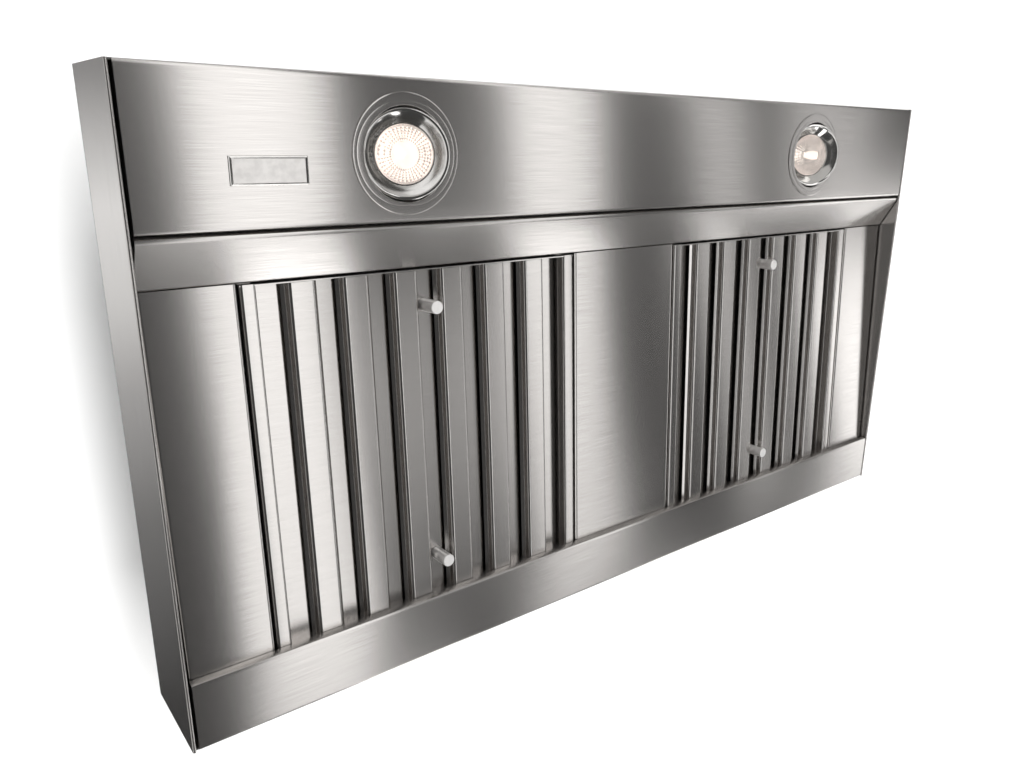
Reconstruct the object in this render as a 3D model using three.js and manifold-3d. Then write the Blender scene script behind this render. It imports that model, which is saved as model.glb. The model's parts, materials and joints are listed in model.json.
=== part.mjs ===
// Range hood insert: a shallow stainless pan that is fixed up inside a hood or cabinet,
// with two pull-down baffle filters, two tilting lamps and a blower box with a duct collar.
// Millimetres. +X right, +Y to the rear wall, +Z up into the duct. Z = 0 is the rim plane that
// faces the cooktop, and X = Y = 0 is the middle of the pan.

import * as THREE from 'three';
import { mergeVertices } from 'three/addons/utils/BufferGeometryUtils.js';
import Module from 'manifold-3d';

// ---------------------------------------------------------------------------------------------
// Driving dimensions
// ---------------------------------------------------------------------------------------------

// Pan
const PAN_WIDTH = 1025;
const PAN_LENGTH = 555;
const PAN_HEIGHT = 100;
const SHEET = 1.5;
const BEND = 2;
const FIT = 0.3;
const TOP_FLANGE = 20;
const SIDE_REVEAL = 2.5;
const LEDGE_HEIGHT = 46;
const LEDGE_WIDTH = 15;
const LIGHT_PANEL_LENGTH = 118.5;
const SEAM = 1.2;
const SEAM_FLANGE = 12;
const BAY_START = 162;
const BAY_LENGTH = 328;
const BAY_DEPTH_FRONT = 24;
const BAY_DEPTH_REAR = 9;
const BAY_WALL = 21;
const LIP_GAP = 0.6;
const LIP_TUCK = 4.5;
const RIM_TO_FLANGE = 3;
const BLANK_DEPTH = 14;
const BLANK_PARTS = { left: 6, middle: 12, right: 7, pan: 82 };

// Baffle filters
const FILTER_GAP = 1.8;
const FILTER_END_GAP = 1.6;
const FILTER_THICKNESS = 14;
const FILTER_SHEET = 1;
const FILTER_BEND = 1.6;
const BAFFLE_COUNT = 6;
const BAFFLE_DEPTH = 8;
const BAFFLE_FLANGE = 4;
const RAIL_FACE = 13.5;
const RAIL_GAP = 26.2;
const REAR_BAFFLE_GAP = 14;
const REAR_BAFFLE_DEPTH = 7;
const PLATE_INSET = 0.4;
const KNOB_RADIUS = 6.3;
const KNOB_STAND = 12;
const KNOB_SPACING = 256;
const KNOB_CHAMFER = 0.6;
const SPRING_SHEET = 0.5;
const SPRING_WIDTH = 14;
const SPRING_REACH = 4;
const SPRING_FOOT = 3;
const SPRING_SLOT_GAP = 1;

// Lamps
const LAMP_FROM_SIDE = 223.5;
const LAMP_FROM_FRONT = 62;
const LAMP_TILT = THREE.MathUtils.degToRad(20);
const TRIM_RADIUS = 50;
const TRIM_THICKNESS = 1.3;
const TRIM_EDGE = 1;
const TRIM_SLEEVE = 16;
const GIMBAL_RADIUS = 37.5;
const GIMBAL_GAP = 2;
const GIMBAL_WALL = 1.2;
const GIMBAL_HEIGHT = 12;
const GIMBAL_EDGE = 1;
const GIMBAL_PIVOT_HEIGHT = 3;
const GIMBAL_RIM = 5;
const GIMBAL_PIN_RADIUS = 1.6;
const GIMBAL_PIN_ROOT = 2;
const BULB_RADIUS = 25;
const BULB_FIT = 0.5;
const BULB_SEAT = 3;
const BULB_LENGTH = 44;
const BULB_NECK = 10;
const BULB_BASE_RADIUS = 9;
const BULB_DOME = 2.2;
const LENS_EDGE = 2.4;
const CAN_RADIUS = 46;
const CAN_FOOT_RADIUS = 52;
const CAN_HEIGHT = 80;
const CAN_SHEET = 1;
const CAN_WIRE_HOLE = 8;
const SOCKET_RADIUS = 11;
const SOCKET_LENGTH = 15;
const SOCKET_CHAMFER = 3;

// Blower
const BOX_WIDTH = 460;
const BOX_HEIGHT = 165;
const BOX_FLANGE = 14;
const BOX_TO_SCROLL = 15.1;
const COLLAR_RADIUS = 101.5;
const COLLAR_HEIGHT = 48;
const COLLAR_FLANGE = 12;
const COLLAR_BEAD = 5;
const COLLAR_FROM_CENTRE = 40;
const WHEEL_RADIUS = 75;
const WHEEL_WIDTH = 124;
const WHEEL_BLADES = 22;
const WHEEL_RIM = 4;
const WHEEL_RIM_INSET = 2;
const BLADE_LENGTH = 15;
const BLADE_THICKNESS = 1.4;
const BLADE_BOW = 9.3;
const BLADE_BOW_SWEEP = THREE.MathUtils.degToRad(144);
const BLADE_LEAN = THREE.MathUtils.degToRad(80);
const BLADE_SEAT = 10.8;
const HUB_RADIUS = 15;
const HUB_LENGTH = 32;
const SCROLL_WIDTH = 148;
const SCROLL_START_GAP = 9;
const SCROLL_END_RADIUS = 130;
const SCROLL_START_ANGLE = THREE.MathUtils.degToRad(60);
const SCROLL_FLOOR = 50;
const INLET_RADIUS = 62;
const MOTOR_RADIUS = 52;
const MOTOR_LENGTH = 84;
const MOTOR_STAND = 12;
const MOTOR_CHAMFER = 6;
const MOTOR_BOSS_WALL = 8;
const SHAFT_RADIUS = 5;
const SHAFT_TAIL = 8;
const SHAFT_TIP = 22;
const BRACKET_ARMS = 3;
const BRACKET_SHEET = 3;
const BRACKET_WIDTH = 18;
const BRACKET_FOOT = 12;
const BRACKET_TO_INLET = 8;
const CLAMP_SETBACK = 14;
const CLAMP_WIDTH = 20;
const CLAMP_EDGE = 4;
const DAMPER_HEIGHT = 24;
const DAMPER_SHEET = 1.1;
const DAMPER_GAP = 2;
const DAMPER_ROD_RADIUS = 2;
const DAMPER_HINGE_GAP = 3;
const KNUCKLE_WALL = 2.2;
const KNUCKLE_LENGTH = 18;
const FRONT_KNUCKLE = 72;
const REAR_KNUCKLE = 44;

// Wiring
const WIRING_FROM_SIDE = 142.5;
const WIRING_BOX = { width: 110, length: 120, height: 50 };
const DRIVER_BOX = { width: 70, length: 150, height: 34, chamfer: 4 };
const COVER_LIP = 1;
const CABLE_HOLE_RADIUS = 11;

// How many flat steps stand for a round form, and how far joined and cutting solids run on
const BEND_STEPS = 2;
const HEM_STEPS = 6;
const PIN_SIDES = 12;
const BAR_SIDES = 16;
const BULB_SIDES = 24;
const ROUND_SIDES = 32;
const DUCT_SIDES = 36;
const FLAP_STEPS = 14;
const SCROLL_STEPS = 28;
const JOIN = 1;
const CUT = 1;

// ---------------------------------------------------------------------------------------------
// Sizes that follow from them
// ---------------------------------------------------------------------------------------------

const HALF_WIDTH = PAN_WIDTH / 2;
const FRONT = -PAN_LENGTH / 2;
const REAR = PAN_LENGTH / 2;
const HEM = 2 * SHEET;
const PANEL_HALF = HALF_WIDTH - HEM - SIDE_REVEAL;
const WALL_HALF = HALF_WIDTH - HEM - FIT;
const BAY_FRONT = FRONT + BAY_START;
const BAY_REAR = BAY_FRONT + BAY_LENGTH;
const BAY_SLOPE = Math.atan((BAY_DEPTH_FRONT - BAY_DEPTH_REAR) / BAY_LENGTH);
const SPRING_Z = BAY_DEPTH_FRONT + BAY_WALL / 2;
const DECK_Z = PAN_HEIGHT + FIT;
const BOX_Z = DECK_Z + SHEET + FIT;
const BOX_TOP = BOX_Z + BOX_HEIGHT;
const LEFT_BLANK = (PAN_WIDTH * BLANK_PARTS.left) / BLANK_PARTS.pan;
const MIDDLE_BLANK = (PAN_WIDTH * BLANK_PARTS.middle) / BLANK_PARTS.pan;
const RIGHT_BLANK = (PAN_WIDTH * BLANK_PARTS.right) / BLANK_PARTS.pan;
const FILTER_WIDTH = PANEL_HALF - 2 * FILTER_GAP - (LEFT_BLANK + MIDDLE_BLANK + RIGHT_BLANK) / 2;
const FILTER_EDGE = FILTER_WIDTH / 2 + FILTER_GAP;
const FILTER_X = {
  left: -PANEL_HALF + LEFT_BLANK + FILTER_EDGE,
  right: PANEL_HALF - RIGHT_BLANK - FILTER_EDGE,
};
const BAFFLE_PITCH = (FILTER_WIDTH - 2 * (RAIL_FACE + RAIL_GAP)) / (BAFFLE_COUNT - 1 / 2);
const BAFFLE_WIDTH = BAFFLE_PITCH / 2;
const REAR_BAFFLE_WIDTH = BAFFLE_PITCH - REAR_BAFFLE_GAP;
const FILTER_LENGTH = (BAY_LENGTH - FILTER_END_GAP + LIP_TUCK) / Math.cos(BAY_SLOPE);
const FILTER_END = FILTER_LENGTH / 2;
const FILTER_Y = BAY_FRONT + (BAY_LENGTH + FILTER_END_GAP + LIP_TUCK) / 2;
const FILTER_Z = BAY_DEPTH_REAR + (BAY_REAR - FILTER_Y) * Math.tan(BAY_SLOPE);
const BLANK_FRONT = FILTER_END + (FILTER_END_GAP - FIT) / Math.cos(BAY_SLOPE);
const LAMP_OFFSET = HALF_WIDTH - LAMP_FROM_SIDE;
const GIMBAL_SLEEVE_RADIUS = GIMBAL_RADIUS + GIMBAL_GAP;
const TRIM_OUTER_SLEEVE = GIMBAL_SLEEVE_RADIUS + GIMBAL_WALL;
const SCROLL_START_RADIUS = WHEEL_RADIUS + SCROLL_START_GAP;
const NECK_INNER = SCROLL_START_RADIUS * Math.cos(SCROLL_START_ANGLE);
const SCROLL_Y = COLLAR_FROM_CENTRE - (NECK_INNER + SCROLL_END_RADIUS) / 2;
const SCROLL_Z = SCROLL_FLOOR + scrollRadius(1.5 * Math.PI);
const BOX_LENGTH = 2 * (scrollRadius(Math.PI) - SCROLL_Y + BOX_TO_SCROLL + SHEET);
const MOTOR_START = -SCROLL_WIDTH / 2 - MOTOR_STAND;
const WIRING_OFFSET = HALF_WIDTH - WIRING_FROM_SIDE;

/** Distance from the blower's axis to the scroll at an angle between its start and a full turn. */
function scrollRadius(angle) {
  const share = (angle - SCROLL_START_ANGLE) / (2 * Math.PI - SCROLL_START_ANGLE);
  return SCROLL_START_RADIUS + share * (SCROLL_END_RADIUS - SCROLL_START_RADIUS);
}

// ---------------------------------------------------------------------------------------------
// Shape helpers
// ---------------------------------------------------------------------------------------------

const wasm = await Module();
wasm.setup();

const ALONG_X = new THREE.Matrix4().makeBasis(
  new THREE.Vector3(0, 1, 0), new THREE.Vector3(0, 0, 1), new THREE.Vector3(1, 0, 0));
const ALONG_Y = new THREE.Matrix4().makeBasis(
  new THREE.Vector3(1, 0, 0), new THREE.Vector3(0, 0, 1), new THREE.Vector3(0, -1, 0));
const LATHE_UP = new THREE.Matrix4().makeRotationX(Math.PI / 2);

/** A closed three.js geometry as a manifold solid. */
function solid(geometry) {
  const bare = geometry.clone();
  bare.deleteAttribute('normal');
  bare.deleteAttribute('uv');
  const merged = mergeVertices(bare, 1e-4);
  const vertProperties = new Float32Array(merged.attributes.position.array);
  const triVerts = new Uint32Array(merged.index.array);
  return new wasm.Manifold(new wasm.Mesh({ numProp: 3, vertProperties, triVerts }));
}

/** A manifold solid as a three.js geometry with flat normals. */
function geometryOf(body) {
  const mesh = body.getMesh();
  const geometry = new THREE.BufferGeometry();
  geometry.setAttribute('position', new THREE.BufferAttribute(new Float32Array(mesh.vertProperties), 3));
  geometry.setIndex(new THREE.BufferAttribute(new Uint32Array(mesh.triVerts), 1));
  geometry.computeVertexNormals();
  return geometry;
}

/** Joins the first solid with the others, then takes the cuts away. */
function combine(parts, cuts = []) {
  const joined = parts.map(solid).reduce((whole, next) => whole.add(next));
  return geometryOf(cuts.map(solid).reduce((whole, next) => whole.subtract(next), joined));
}

function shapeOf(points) {
  return new THREE.Shape(points.map(([x, y]) => new THREE.Vector2(x, y)));
}

function extrude(points, depth) {
  return new THREE.ExtrudeGeometry(shapeOf(points), { depth, bevelEnabled: false, steps: 1 });
}

/** Extrudes a (y, z) outline from x0 to x1. */
function extrudeX(points, x0, x1) {
  return extrude(points, x1 - x0).applyMatrix4(ALONG_X).translate(x0, 0, 0);
}

/** Extrudes an (x, z) outline from y0 to y1. */
function extrudeY(points, y0, y1) {
  return extrude(points, y1 - y0).applyMatrix4(ALONG_Y).translate(0, y1, 0);
}

/** Extrudes an (x, y) outline from z0 to z1. */
function extrudeZ(points, z0, z1) {
  return extrude(points, z1 - z0).translate(0, 0, z0);
}

function block(x0, x1, y0, y1, z0, z1) {
  const box = new THREE.BoxGeometry(x1 - x0, y1 - y0, z1 - z0);
  return box.translate((x0 + x1) / 2, (y0 + y1) / 2, (z0 + z1) / 2);
}

/** A cylinder along Z from z0 to z1. */
function discZ(radius, z0, z1, segments = ROUND_SIDES) {
  const disc = new THREE.CylinderGeometry(radius, radius, z1 - z0, segments);
  return disc.rotateX(Math.PI / 2).translate(0, 0, (z0 + z1) / 2);
}

/** A cylinder along X from x0 to x1. */
function discX(radius, x0, x1, segments = ROUND_SIDES) {
  const disc = new THREE.CylinderGeometry(radius, radius, x1 - x0, segments);
  return disc.rotateZ(Math.PI / 2).translate((x0 + x1) / 2, 0, 0);
}

/** Revolves a closed (radius, z) outline about the Z axis. */
function revolve(points, segments = ROUND_SIDES) {
  const loop = points.map(([r, z]) => new THREE.Vector2(r, z));
  return new THREE.LatheGeometry(loop, segments).applyMatrix4(LATHE_UP);
}

/** Revolves a ring outline, given without its closing point. */
function ring(points, segments = ROUND_SIDES) {
  return revolve([...points, points[0]], segments);
}

/**
 * Outline of a folded sheet: the mid-line path, thickened to both sides, with every corner
 * rounded to the inside bend radius.
 */
function foldedSheet(path, thickness, bend) {
  const half = thickness / 2;
  const mid = bend + half;
  const left = [];
  const right = [];
  const point = ([x, y]) => new THREE.Vector2(x, y);
  const pushBoth = (p, normal) => {
    left.push([p.x + normal.x * half, p.y + normal.y * half]);
    right.push([p.x - normal.x * half, p.y - normal.y * half]);
  };
  const directions = path.slice(1).map((p, i) => point(p).sub(point(path[i])).normalize());
  const normalOf = (d) => new THREE.Vector2(-d.y, d.x);
  pushBoth(point(path[0]), normalOf(directions[0]));
  for (let i = 1; i < path.length - 1; i += 1) {
    const into = directions[i - 1];
    const out = directions[i];
    const turn = Math.atan2(into.x * out.y - into.y * out.x, into.dot(out));
    const side = Math.sign(turn);
    const setback = mid * Math.tan(Math.abs(turn) / 2);
    const start = point(path[i]).addScaledVector(into, -setback);
    const centre = start.clone().addScaledVector(normalOf(into), side * mid);
    for (let step = 0; step <= BEND_STEPS; step += 1) {
      const angle = (turn * step) / BEND_STEPS;
      const normal = normalOf(into).rotateAround(new THREE.Vector2(), angle);
      pushBoth(centre.clone().addScaledVector(normal, -side * mid), normal);
    }
  }
  pushBoth(point(path[path.length - 1]), normalOf(directions[directions.length - 1]));
  return [...right, ...left.reverse()];
}

function arc(centreX, centreY, radius, from, to, steps) {
  return Array.from({ length: steps + 1 }, (_, i) => {
    const angle = from + ((to - from) * i) / steps;
    return [centreX + radius * Math.cos(angle), centreY + radius * Math.sin(angle)];
  });
}

/** Outline of a flat end plate whose lower corners follow the mid-line of a folded sheet. */
function endOutline(from, to, low, high, radius) {
  return [
    [to, high],
    [from, high],
    ...arc(from + radius, low + radius, radius, Math.PI, 1.5 * Math.PI, BEND_STEPS),
    ...arc(to - radius, low + radius, radius, 1.5 * Math.PI, 2 * Math.PI, BEND_STEPS),
  ];
}

const mirrorX = (points) => points.map(([x, z]) => [-x, z]).reverse();

// ---------------------------------------------------------------------------------------------
// Materials
// ---------------------------------------------------------------------------------------------

function finish(color, roughness, metalness) {
  return () => new THREE.MeshStandardMaterial({ color, roughness, metalness });
}

const stainless = finish(0xb9b8b6, 0.32, 1);
const galvanised = finish(0xa2a6a8, 0.5, 0.9);
const polished = finish(0xd6d4d0, 0.12, 1);
const blackPlastic = finish(0x1c1c1d, 0.6, 0);
const clearGlass = finish(0xf4f2ea, 0.05, 0);
const motorPaint = finish(0x3a3c3e, 0.55, 0.3);

const rangeHoodInsert = new THREE.Group();

function addPart(parent, name, geometry, material) {
  const mesh = new THREE.Mesh(geometry, material());
  mesh.name = name;
  parent.add(mesh);
  return mesh;
}

// ---------------------------------------------------------------------------------------------
// Pan
// ---------------------------------------------------------------------------------------------

/** Side wall with a closed hem at the rim, a ledge inside it and a flange at the top. */
function sidePanel(side) {
  const hem = arc(SHEET, SHEET, SHEET, Math.PI, 2 * Math.PI, HEM_STEPS);
  const wall = [
    ...hem,
    [HEM, LEDGE_HEIGHT - SHEET],
    [SHEET, LEDGE_HEIGHT],
    [SHEET, PAN_HEIGHT - SHEET],
    [TOP_FLANGE, PAN_HEIGHT - SHEET],
    [TOP_FLANGE, PAN_HEIGHT],
    [0, PAN_HEIGHT],
  ];
  const ledge = [
    [SHEET / 2, LEDGE_HEIGHT],
    [HEM + LEDGE_WIDTH, LEDGE_HEIGHT],
    [HEM + LEDGE_WIDTH, LEDGE_HEIGHT + SHEET],
    [SHEET / 2, LEDGE_HEIGHT + SHEET],
  ];
  const place = (points) => {
    const outline = points.map(([x, z]) => [x - HALF_WIDTH, z]);
    return side < 0 ? outline : mirrorX(outline);
  };
  const inset = SHEET + FIT;
  return combine([
    extrudeY(place(wall), FRONT, REAR),
    extrudeY(place(ledge), FRONT + inset, REAR - inset),
  ]);
}

/** Upright plates that close a folded panel's two ends, from y0 to y1. */
function endPlates(y0, y1, height) {
  const outline = endOutline(y0, y1, SHEET / 2, height, BEND + SHEET / 2);
  return [
    extrudeX(outline, -PANEL_HALF, -PANEL_HALF + SHEET),
    extrudeX(outline, PANEL_HALF - SHEET, PANEL_HALF),
  ];
}

/** The parts of a front or rear wall that reach out to the side walls above the rim. */
function wallCorners(y0, y1) {
  return [-1, 1].map((side) => {
    const inner = side * (PANEL_HALF - JOIN);
    const outer = side * WALL_HALF;
    return block(
      Math.min(inner, outer), Math.max(inner, outer), y0, y1,
      RIM_TO_FLANGE, PAN_HEIGHT - SHEET - FIT);
  });
}

function lightPanel() {
  const wall = FRONT + SHEET / 2;
  const seam = FRONT + LIGHT_PANEL_LENGTH - SHEET / 2;
  const outline = foldedSheet([
    [FRONT + TOP_FLANGE, PAN_HEIGHT - SHEET / 2],
    [wall, PAN_HEIGHT - SHEET / 2],
    [wall, SHEET / 2],
    [seam, SHEET / 2],
    [seam, SEAM_FLANGE],
  ], SHEET, BEND);
  const holes = [-1, 1].map((side) => discZ(TRIM_OUTER_SLEEVE + FIT, -SHEET, 2 * SHEET)
    .translate(side * LAMP_OFFSET, FRONT + LAMP_FROM_FRONT, 0));
  return combine([
    extrudeX(outline, -PANEL_HALF, PANEL_HALF),
    ...endPlates(wall, seam, LEDGE_HEIGHT - FIT),
    ...wallCorners(FRONT, FRONT + SHEET),
  ], [...holes, ...topCornerCuts(FRONT - CUT, FRONT + TOP_FLANGE + CUT)]);
}

/** Clears the top corners for the side walls' flanges. */
function topCornerCuts(y0, y1) {
  return [-1, 1].map((side) => {
    const inner = side * (HALF_WIDTH - TOP_FLANGE - FIT);
    const outer = side * (HALF_WIDTH + CUT);
    return block(
      Math.min(inner, outer), Math.max(inner, outer), y0, y1,
      PAN_HEIGHT - SHEET - FIT, PAN_HEIGHT + CUT);
  });
}

function slopedStrip() {
  const start = FRONT + LIGHT_PANEL_LENGTH + SEAM + SHEET / 2;
  const end = BAY_FRONT - SHEET / 2;
  const top = BAY_DEPTH_FRONT + BAY_WALL;
  const outline = foldedSheet([
    [start, SEAM_FLANGE],
    [start, SHEET / 2],
    [end, BAY_DEPTH_FRONT + SHEET / 2],
    [end, top - SHEET / 2],
    [end - SEAM_FLANGE, top - SHEET / 2],
  ], SHEET, BEND);
  const slots = [FILTER_X.left, FILTER_X.right].map((x) => {
    const half = SPRING_WIDTH / 2 + SPRING_SLOT_GAP;
    const reach = SPRING_REACH + SPRING_SLOT_GAP;
    return block(x - half, x + half, end - SHEET, end + SHEET, SPRING_Z - reach, SPRING_Z + reach);
  });
  return combine([extrudeX(outline, -PANEL_HALF, PANEL_HALF)], slots);
}

/** Leaf spring behind the strip's wall; its nose leans on the filter through a slot. */
function filterSpring() {
  const half = SPRING_WIDTH / 2;
  const back = BAY_FRONT - SHEET - FIT - SPRING_SHEET / 2;
  const nose = BAY_FRONT + FILTER_END_GAP - FIT - SPRING_SHEET / 2;
  const outline = foldedSheet([
    [back, SPRING_Z + SPRING_REACH + SPRING_FOOT],
    [back, SPRING_Z + SPRING_REACH],
    [nose, SPRING_Z],
    [back, SPRING_Z - SPRING_REACH],
    [back, SPRING_Z - SPRING_REACH - SPRING_FOOT],
  ], SPRING_SHEET, SPRING_SHEET);
  return extrudeX(outline, -half, half);
}

function rearTrough() {
  const lip = BAY_REAR + SHEET / 2;
  const wall = REAR - SHEET / 2;
  const lipTop = BAY_DEPTH_REAR - LIP_GAP;
  const outline = foldedSheet([
    [lip, lipTop],
    [lip, SHEET / 2],
    [wall, SHEET / 2],
    [wall, PAN_HEIGHT - SHEET / 2],
    [REAR - TOP_FLANGE, PAN_HEIGHT - SHEET / 2],
  ], SHEET, BEND);
  return combine([
    extrudeX(outline, -PANEL_HALF, PANEL_HALF),
    ...endPlates(lip, wall, lipTop),
    ...wallCorners(REAR - SHEET, REAR),
  ], topCornerCuts(REAR - TOP_FLANGE - CUT, REAR + CUT));
}

/** A shallow tray, face down, that fills the bay beside a filter; its front is riveted on. */
function blankPanel(width) {
  const mid = width / 2 - SHEET / 2;
  const outline = foldedSheet(
    [[-mid, BLANK_DEPTH], [-mid, SHEET / 2], [mid, SHEET / 2], [mid, BLANK_DEPTH]], SHEET, BEND);
  const end = endOutline(-mid, mid, SHEET / 2, BLANK_DEPTH, BEND + SHEET / 2);
  return combine([
    extrudeY(outline, -BLANK_FRONT, FILTER_END),
    extrudeY(end, -BLANK_FRONT, -BLANK_FRONT + SHEET),
    extrudeY(end, FILTER_END - SHEET, FILTER_END),
  ]);
}

/** Top plate with the blower's opening and a cable hole under each electrical box. */
function topDeck() {
  const edge = SHEET + BOX_FLANGE;
  const plate = block(-HALF_WIDTH, HALF_WIDTH, FRONT, REAR, DECK_Z, DECK_Z + SHEET);
  const opening = block(
    -BOX_WIDTH / 2 + edge, BOX_WIDTH / 2 - edge, -BOX_LENGTH / 2 + edge, BOX_LENGTH / 2 - edge,
    DECK_Z - CUT, DECK_Z + SHEET + CUT);
  const cables = [-WIRING_OFFSET, WIRING_OFFSET].map((x) => discZ(
    CABLE_HOLE_RADIUS, DECK_Z - CUT, DECK_Z + SHEET + CUT, BAR_SIDES).translate(x, 0, 0));
  return combine([plate], [opening, ...cables]);
}

// ---------------------------------------------------------------------------------------------
// Baffle filters: front channels with turned-out lips open upwards, and rear channels between
// them open downwards into their hollows, so the air has to turn twice round the lips.
// ---------------------------------------------------------------------------------------------

const REAR_WEB = FILTER_THICKNESS - FILTER_SHEET / 2;
const PLATE_END = FILTER_END - PLATE_INSET;

/** Front channel: its face down, its two lips turned out at the top. */
function frontBaffle() {
  const wall = BAFFLE_WIDTH / 2 - FILTER_SHEET / 2;
  const face = FILTER_SHEET / 2;
  const lips = BAFFLE_DEPTH - FILTER_SHEET / 2;
  const outline = foldedSheet([
    [-wall - BAFFLE_FLANGE, lips],
    [-wall, lips],
    [-wall, face],
    [wall, face],
    [wall, lips],
    [wall + BAFFLE_FLANGE, lips],
  ], FILTER_SHEET, FILTER_BEND);
  return extrudeY(outline, -PLATE_END + FILTER_SHEET + FIT, PLATE_END - FILTER_SHEET - FIT);
}

/** Side rails, end plates and the rear channels that are riveted to them. */
function filterFrame() {
  const half = FILTER_WIDTH / 2;
  const railFar = half - FILTER_SHEET / 2;
  const railNear = half - RAIL_FACE + FILTER_SHEET / 2;
  const railOutline = foldedSheet([
    [railNear, BAFFLE_DEPTH],
    [railNear, FILTER_SHEET / 2],
    [railFar, FILTER_SHEET / 2],
    [railFar, REAR_WEB],
    [railNear, REAR_WEB],
  ], FILTER_SHEET, FILTER_BEND);
  const parts = [
    extrudeY(railOutline, -FILTER_END, FILTER_END),
    extrudeY(mirrorX(railOutline), -FILTER_END, FILTER_END),
  ];
  const radius = FILTER_BEND + FILTER_SHEET / 2;
  const plate = [
    ...arc(-railFar + radius, REAR_WEB - radius, radius, Math.PI / 2, Math.PI, BEND_STEPS),
    ...arc(-railFar + radius, FILTER_SHEET / 2 + radius, radius, Math.PI, 1.5 * Math.PI, BEND_STEPS),
    ...arc(railFar - radius, FILTER_SHEET / 2 + radius, radius, -Math.PI / 2, 0, BEND_STEPS),
    ...arc(railFar - radius, REAR_WEB - radius, radius, 0, Math.PI / 2, BEND_STEPS),
  ];
  parts.push(
    extrudeY(plate, -PLATE_END, -PLATE_END + FILTER_SHEET),
    extrudeY(plate, PLATE_END - FILTER_SHEET, PLATE_END));
  const rearHalf = REAR_BAFFLE_WIDTH / 2 - FILTER_SHEET / 2;
  const rearLips = REAR_WEB - REAR_BAFFLE_DEPTH;
  const rear = foldedSheet([
    [-rearHalf, rearLips], [-rearHalf, REAR_WEB], [rearHalf, REAR_WEB], [rearHalf, rearLips],
  ], FILTER_SHEET, FILTER_BEND);
  for (let i = 0; i <= BAFFLE_COUNT; i += 1) {
    const x = (i - BAFFLE_COUNT / 2) * BAFFLE_PITCH;
    parts.push(extrudeY(rear, -PLATE_END + FILTER_SHEET / 2, PLATE_END - FILTER_SHEET / 2)
      .translate(x, 0, 0));
  }
  return combine(parts);
}

/** Plain pull knob that stands on the rear channel and reaches out between two baffles. */
function filterKnob() {
  const base = FILTER_THICKNESS - FILTER_SHEET - FIT;
  const tip = -KNOB_STAND;
  return revolve([
    [0, tip],
    [KNOB_RADIUS - KNOB_CHAMFER, tip],
    [KNOB_RADIUS, tip + KNOB_CHAMFER],
    [KNOB_RADIUS, base],
    [0, base],
  ], BULB_SIDES);
}

// ---------------------------------------------------------------------------------------------
// Lamps
// ---------------------------------------------------------------------------------------------

/** Fixed trim: a thin dished flange under the panel and a sleeve that carries the pivots. */
function lampTrim() {
  const body = ring([
    [GIMBAL_SLEEVE_RADIUS, -FIT],
    [GIMBAL_SLEEVE_RADIUS + TRIM_EDGE, -FIT - TRIM_THICKNESS / 2],
    [TRIM_RADIUS - TRIM_EDGE, -FIT - TRIM_THICKNESS],
    [TRIM_RADIUS, -FIT - TRIM_THICKNESS / 2],
    [TRIM_RADIUS - TRIM_EDGE, -FIT],
    [TRIM_OUTER_SLEEVE, -FIT],
    [TRIM_OUTER_SLEEVE, TRIM_SLEEVE],
    [GIMBAL_SLEEVE_RADIUS, TRIM_SLEEVE],
  ]);
  const pivots = discX(GIMBAL_PIN_RADIUS + FIT, -TRIM_RADIUS, TRIM_RADIUS, PIN_SIDES)
    .rotateZ(Math.PI / 2).translate(0, 0, GIMBAL_PIVOT_HEIGHT);
  return combine([body], [pivots]);
}

/** Tilting ring about its own pivot axis Y, with a reflector cone down to the bulb. */
function gimbalRing() {
  const low = -GIMBAL_HEIGHT / 2;
  const high = GIMBAL_HEIGHT / 2;
  const seat = BULB_RADIUS + BULB_FIT;
  const body = ring([
    [GIMBAL_RADIUS - GIMBAL_EDGE, low],
    [GIMBAL_RADIUS, low + GIMBAL_EDGE],
    [GIMBAL_RADIUS, high],
    [seat, high],
    [seat, high - BULB_SEAT],
    [GIMBAL_RADIUS - GIMBAL_RIM, low],
  ]);
  const pins = [-1, 1].map((side) => discX(
    GIMBAL_PIN_RADIUS, GIMBAL_RADIUS - GIMBAL_PIN_ROOT, TRIM_OUTER_SLEEVE - FIT, PIN_SIDES)
    .rotateZ((side * Math.PI) / 2));
  return combine([body, ...pins]);
}

const LENS_FACE = GIMBAL_HEIGHT / 2 - BULB_SEAT;

/** Glass front of the bulb, a low dome with a plain edge. */
function bulbLens() {
  const steps = 3;
  const front = Array.from({ length: steps + 1 }, (_, i) => {
    const share = i / steps;
    return [BULB_RADIUS * share, LENS_FACE - BULB_DOME * (1 - share * share)];
  });
  return revolve([
    ...front, [BULB_RADIUS, LENS_FACE + LENS_EDGE], [0, LENS_FACE + LENS_EDGE],
  ]);
}

/** Mirror bowl of the bulb and its round base. */
function bulbBody() {
  const start = LENS_FACE + LENS_EDGE + FIT;
  const bowlDepth = BULB_LENGTH - BULB_NECK;
  const steps = 4;
  const bowl = Array.from({ length: steps + 1 }, (_, i) => {
    const share = i / steps;
    const radius = BULB_BASE_RADIUS + (BULB_RADIUS - BULB_BASE_RADIUS) * Math.sqrt(1 - share);
    return [radius, start + share * bowlDepth];
  });
  return revolve([
    [0, start], ...bowl, [BULB_BASE_RADIUS, LENS_FACE + BULB_LENGTH], [0, LENS_FACE + BULB_LENGTH],
  ], BULB_SIDES);
}

function socket() {
  const start = LENS_FACE + BULB_LENGTH + FIT;
  return revolve([
    [0, start],
    [SOCKET_RADIUS, start],
    [SOCKET_RADIUS, start + SOCKET_LENGTH - SOCKET_CHAMFER],
    [SOCKET_RADIUS - SOCKET_CHAMFER, start + SOCKET_LENGTH],
    [0, start + SOCKET_LENGTH],
  ], BAR_SIDES);
}

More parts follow.
